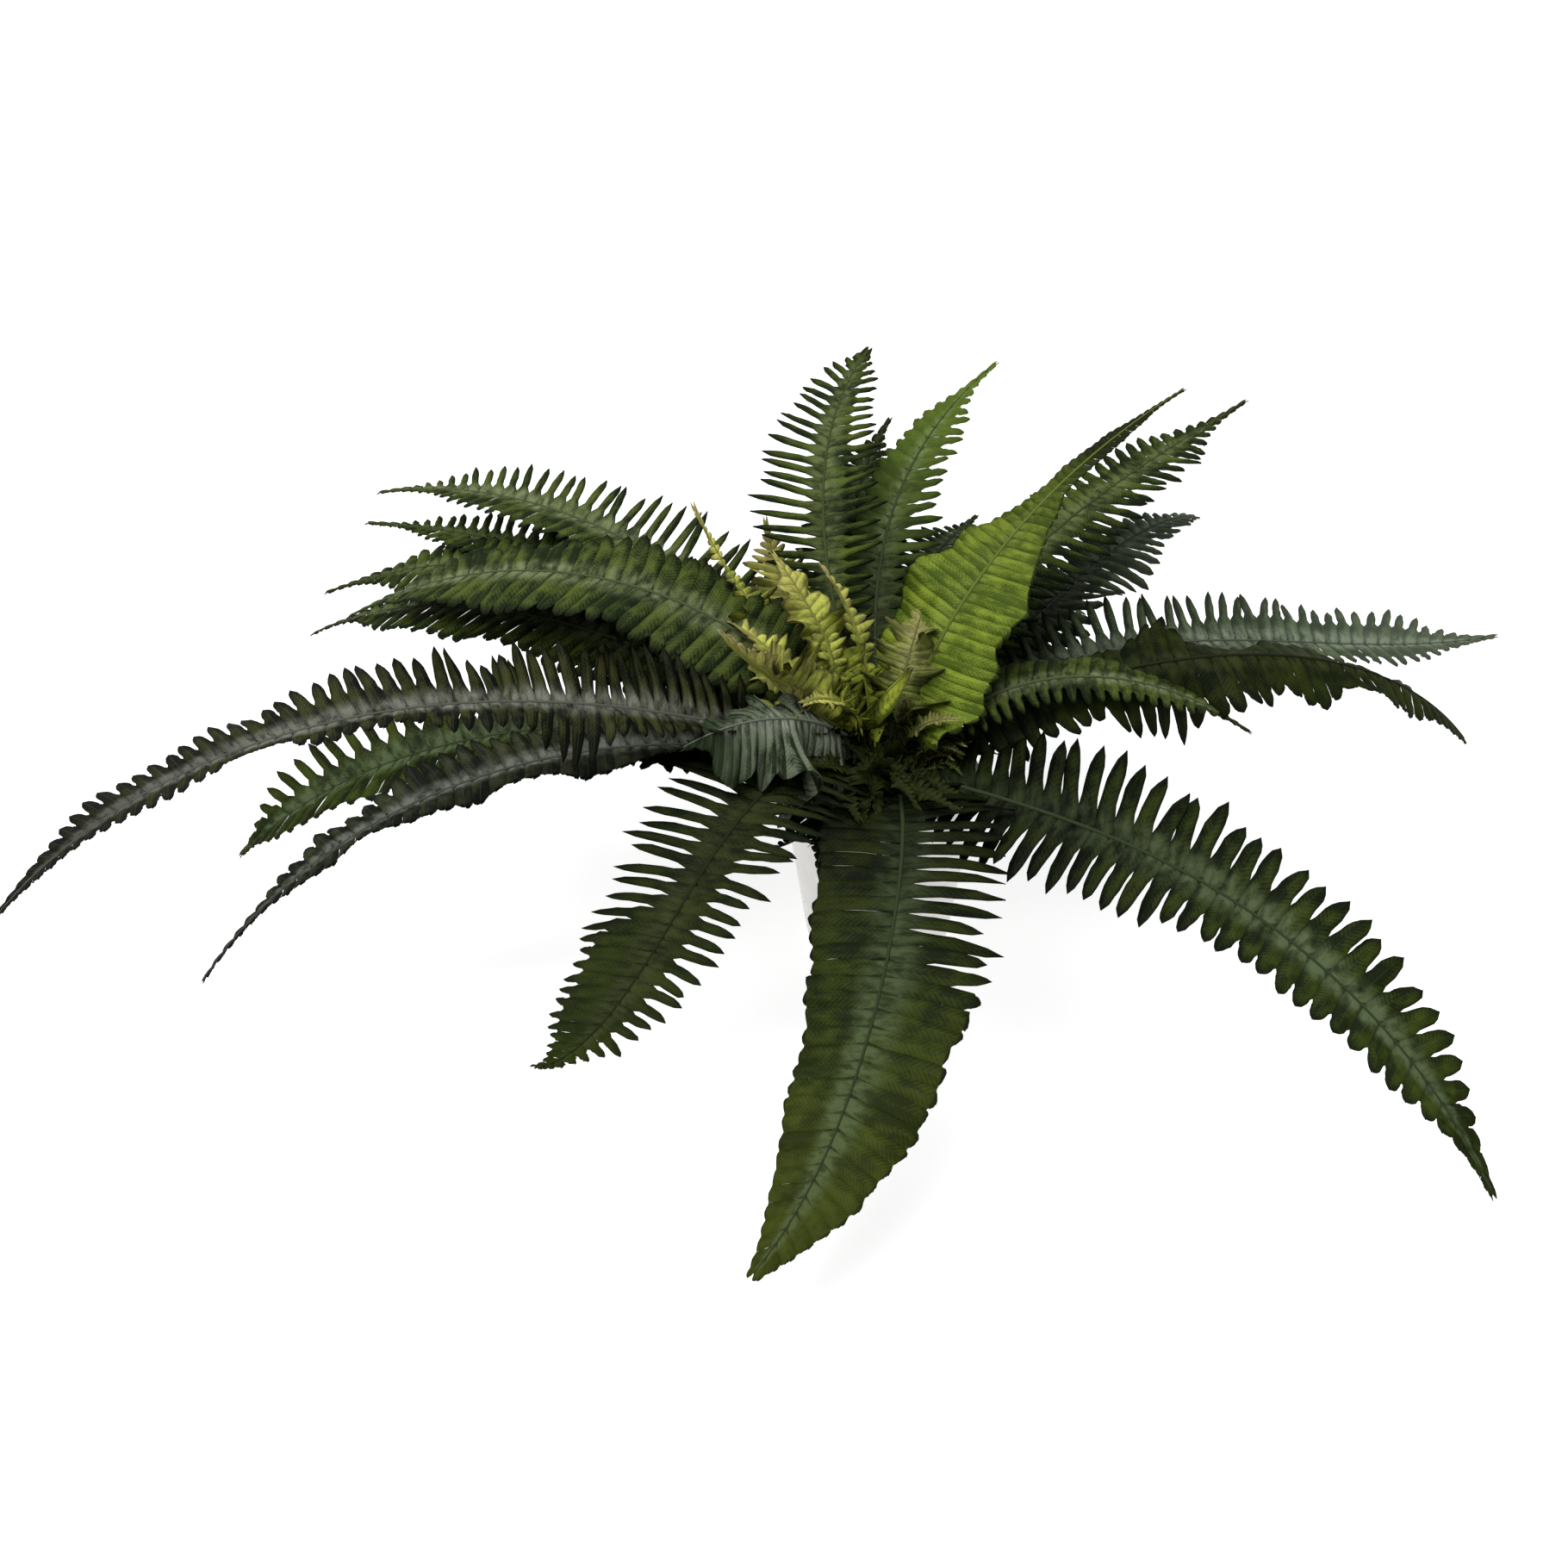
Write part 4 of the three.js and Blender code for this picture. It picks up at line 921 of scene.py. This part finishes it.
def make_soil(material, tree, crumbs):
    rng = random.Random(5)
    low, top = POT_FLOOR + SOIL_GAP, SOIL_TOP - 0.4
    profile = [(0, low), (pot_radius(low) - POT_WALL - SOIL_GAP, low),
               (pot_radius(SOIL_TOP - 4) - POT_WALL - SOIL_GAP, SOIL_TOP - 4.5)]
    profile += [(r, top - max(0, (r - 29) / 12) ** 1.5) for r in (50, 46, 42, 38, 34, 30, 27)]
    profile += [(22, top), (12, top), (0, top)]

    def clods(radius, height):
        return (0, 1.2 * (rng.random() - 0.75)) if 32 < radius < 51 and height > SOIL_TOP - 9 else (0, 0)

    soil = turned_piece("potting_soil", profile, SOIL_SEGMENTS, clods)
    soil.data.shade_smooth()
    grow(soil, tree, Forms=crumbs, Density=3.5e5, Smallest=0.0008, Largest=0.0034, Lean=0.0,
         Wildness=1.0, Lowest=(SOIL_TOP - 6) * MM, Widest=0.0512, Seed=4, Finish=material)
    soil = evaluated_mesh(soil, "potting_soil")
    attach(soil, "root")
    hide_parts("soil")


def make_crown(material, tree, scales):
    rng = random.Random(8)
    foot = SOIL_TOP + 0.3
    profile = [(0, foot), (CROWN_RADIUS - 0.5, foot)]
    profile += [(r, crown_height(r) - 0.6) for r in (25.2, 24, 22, 19, 16, 12, 8, 4, 0)]

    def lumps(_, height):
        return (0.5 * (rng.random() - 0.5), 0.8 * (rng.random() - 0.5)) if height > foot + 1 else (0, 0)

    crown = turned_piece("fern_crown", profile, CROWN_SEGMENTS, lumps)
    crown.data.shade_smooth()
    grow(crown, tree, Forms=scales, Density=1.6e5, Smallest=0.004, Largest=0.011, Lean=0.8,
         Wildness=1.0, Lowest=(SOIL_TOP + 1.5) * MM, Widest=0.03, Seed=2, Finish=material)
    crown = evaluated_mesh(crown, "fern_crown")
    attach(crown, "root")
    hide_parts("crown")


# ---- tufts of small fronds ----
def sprig_form(name, collection, tree, leaflet, finish, seed):
    """A young frond 60 mm long along X, small and crinkled, that is repeated on the crown."""
    rng = random.Random(seed)
    cut = 0.2 + 0.1 * seed
    frond = dict(FROND_HABIT, ring=0, seat=0, heading=0, swing=rng.uniform(-60, 60), length=60,
                 slope=(rng.uniform(0, 30), rng.uniform(-25, 10), rng.uniform(-60, 50)),
                 half=(6 + seed, 5 + seed), lift=(rng.uniform(0, 40),) * 2, bare=0.06, swell=(0.62, 0.17),
                 web=(cut, cut + 0.2), tip=(0.6, 0.74), droop=rng.uniform(-0.4, 0.5))
    line = frond_line(name, frond, SPRIG_STEPS)
    grow(line, tree, Pairs=20, Blade_Start=0.12, Pitch=2.7 * MM, Cover=0.85, Wave=1.2 + 0.3 * seed, Seed=seed,
         Leaflet=leaflet, Leaf=finish)
    form = evaluated_mesh(line, name)
    form.data.transform(Matrix.Translation((0, 0, -crown_height(0) * MM)))
    bpy.context.scene.collection.objects.unlink(form)
    collection.objects.link(form)


def make_tuft(name, plan, tree, sprigs, materials, corners=12):
    """Small fronds that stand up from a round patch of the crown."""
    spread, slot = plan["spread"], plan["slot"]
    points = []
    for i in range(-1, corners):
        turn = 2 * math.pi * i / corners
        # the first point is the middle of the patch
        reach = 0 if i < 0 else spread
        x, y = plan["spot"][0] + reach * math.cos(turn), plan["spot"][1] + reach * math.sin(turn)
        height = crown_height(min(math.hypot(x, y), CROWN_RADIUS)) - 1
        points.append((x * MM, y * MM, height * MM))
    tuft = mesh_object(name, points, [(0, 1 + i, 1 + (i + 1) % corners) for i in range(corners)])
    area = math.pi * (spread * MM) ** 2
    grow(tuft, tree, Forms=sprigs, Density=plan["count"] / area, Smallest=plan["smallest"],
         Largest=plan["largest"], Lean=plan["lean"], Wildness=plan["wildness"], Lowest=0.0, Widest=1.0,
         Seed=plan["seed"], Finish=materials[plan["leaf"]])
    tuft = evaluated_mesh(tuft, name)
    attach(tuft, "root")


# ---- studio ----
def make_studio():
    scene = bpy.context.scene
    r = FLOOR_REACH
    floor = mesh_object("studio_floor", [(-r, -r, 0), (r, -r, 0), (r, r, 0), (-r, r, 0)], [(0, 1, 2, 3)])
    floor.data.materials.append(floor_material())
    for name, place, size, power in LAMPS:
        lamp = bpy.data.lights.new(name, "AREA")
        lamp.energy, lamp.size = power, size
        light = new_object(name, lamp)
        light.location = place
        light.rotation_euler = (LAMPS_AIM - light.location).to_track_quat("-Z", "Y").to_euler()
    world = bpy.data.worlds.new("studio")
    world.use_nodes = True
    sky = world.node_tree.nodes["Background"].inputs
    sky[0].default_value = (1.0, 1.0, 1.0, 1)
    sky[1].default_value = SKY_STRENGTH
    scene.world = world
    scene.view_settings.view_transform = "Standard"


def make_camera():
    data = bpy.data.cameras.new("camera")
    data.sensor_width = CAMERA_SENSOR
    data.lens = CAMERA_LENS
    camera = new_object("camera", data)
    camera.location = CAMERA_PLACE
    camera.rotation_euler = (math.radians(CAMERA_PITCH), 0, 0)
    bpy.context.scene.camera = camera


def main():
    make_camera()
    mottle = make_mottle_group()
    leaf_group = make_leaf_group()
    materials = {name: leaf_material(name, leaf_group, finish) for name, finish in FINISHES.items()}
    collections = [bpy.data.collections.new(name) for name in ("crumbs", "scales", "sprigs")]
    crumbs, scales, sprigs = collections
    for collection in collections:
        bpy.context.scene.collection.children.link(collection)
    leaflet = leaflet_sheet("leaflet_sheet", LEAFLET_ROWS)
    for i in range(3):
        crumb_form(f"crumb_{i}", crumbs, 40 + i)
        scale_form(f"scale_{i}", scales, 60 + i)
    frond_tree = make_frond_tree()
    scatter_tree = make_scatter_tree("scatter", True)
    tuft_tree = make_scatter_tree("tuft", False)
    for i, (node, frond) in enumerate(FRONDS.items()):
        make_frond(node, {**FROND_HABIT, **frond}, frond_tree, leaflet, materials, i * 13 + 3)
    bpy.data.objects.remove(leaflet)
    make_pot(glaze_material(mottle))
    make_soil(earthy_material("potting_soil", mottle, **SOIL_FINISH), scatter_tree, crumbs)
    make_crown(earthy_material("crown_scales", mottle, **SCALE_FINISH), scatter_tree, scales)
    small_leaflet = leaflet_sheet("small_leaflet", SMALL_LEAFLET_ROWS)
    for i in range(4):
        sprig_form(f"sprig_{i}", sprigs, frond_tree, small_leaflet, materials["leaf_young"], i)
    for name, plan in TUFTS.items():
        make_tuft(name, plan, tuft_tree, sprigs, materials)
    bpy.data.objects.remove(small_leaflet)
    for collection in collections:
        for form in list(collection.objects):
            bpy.data.objects.remove(form)
        bpy.data.collections.remove(collection)
    make_studio()


main()
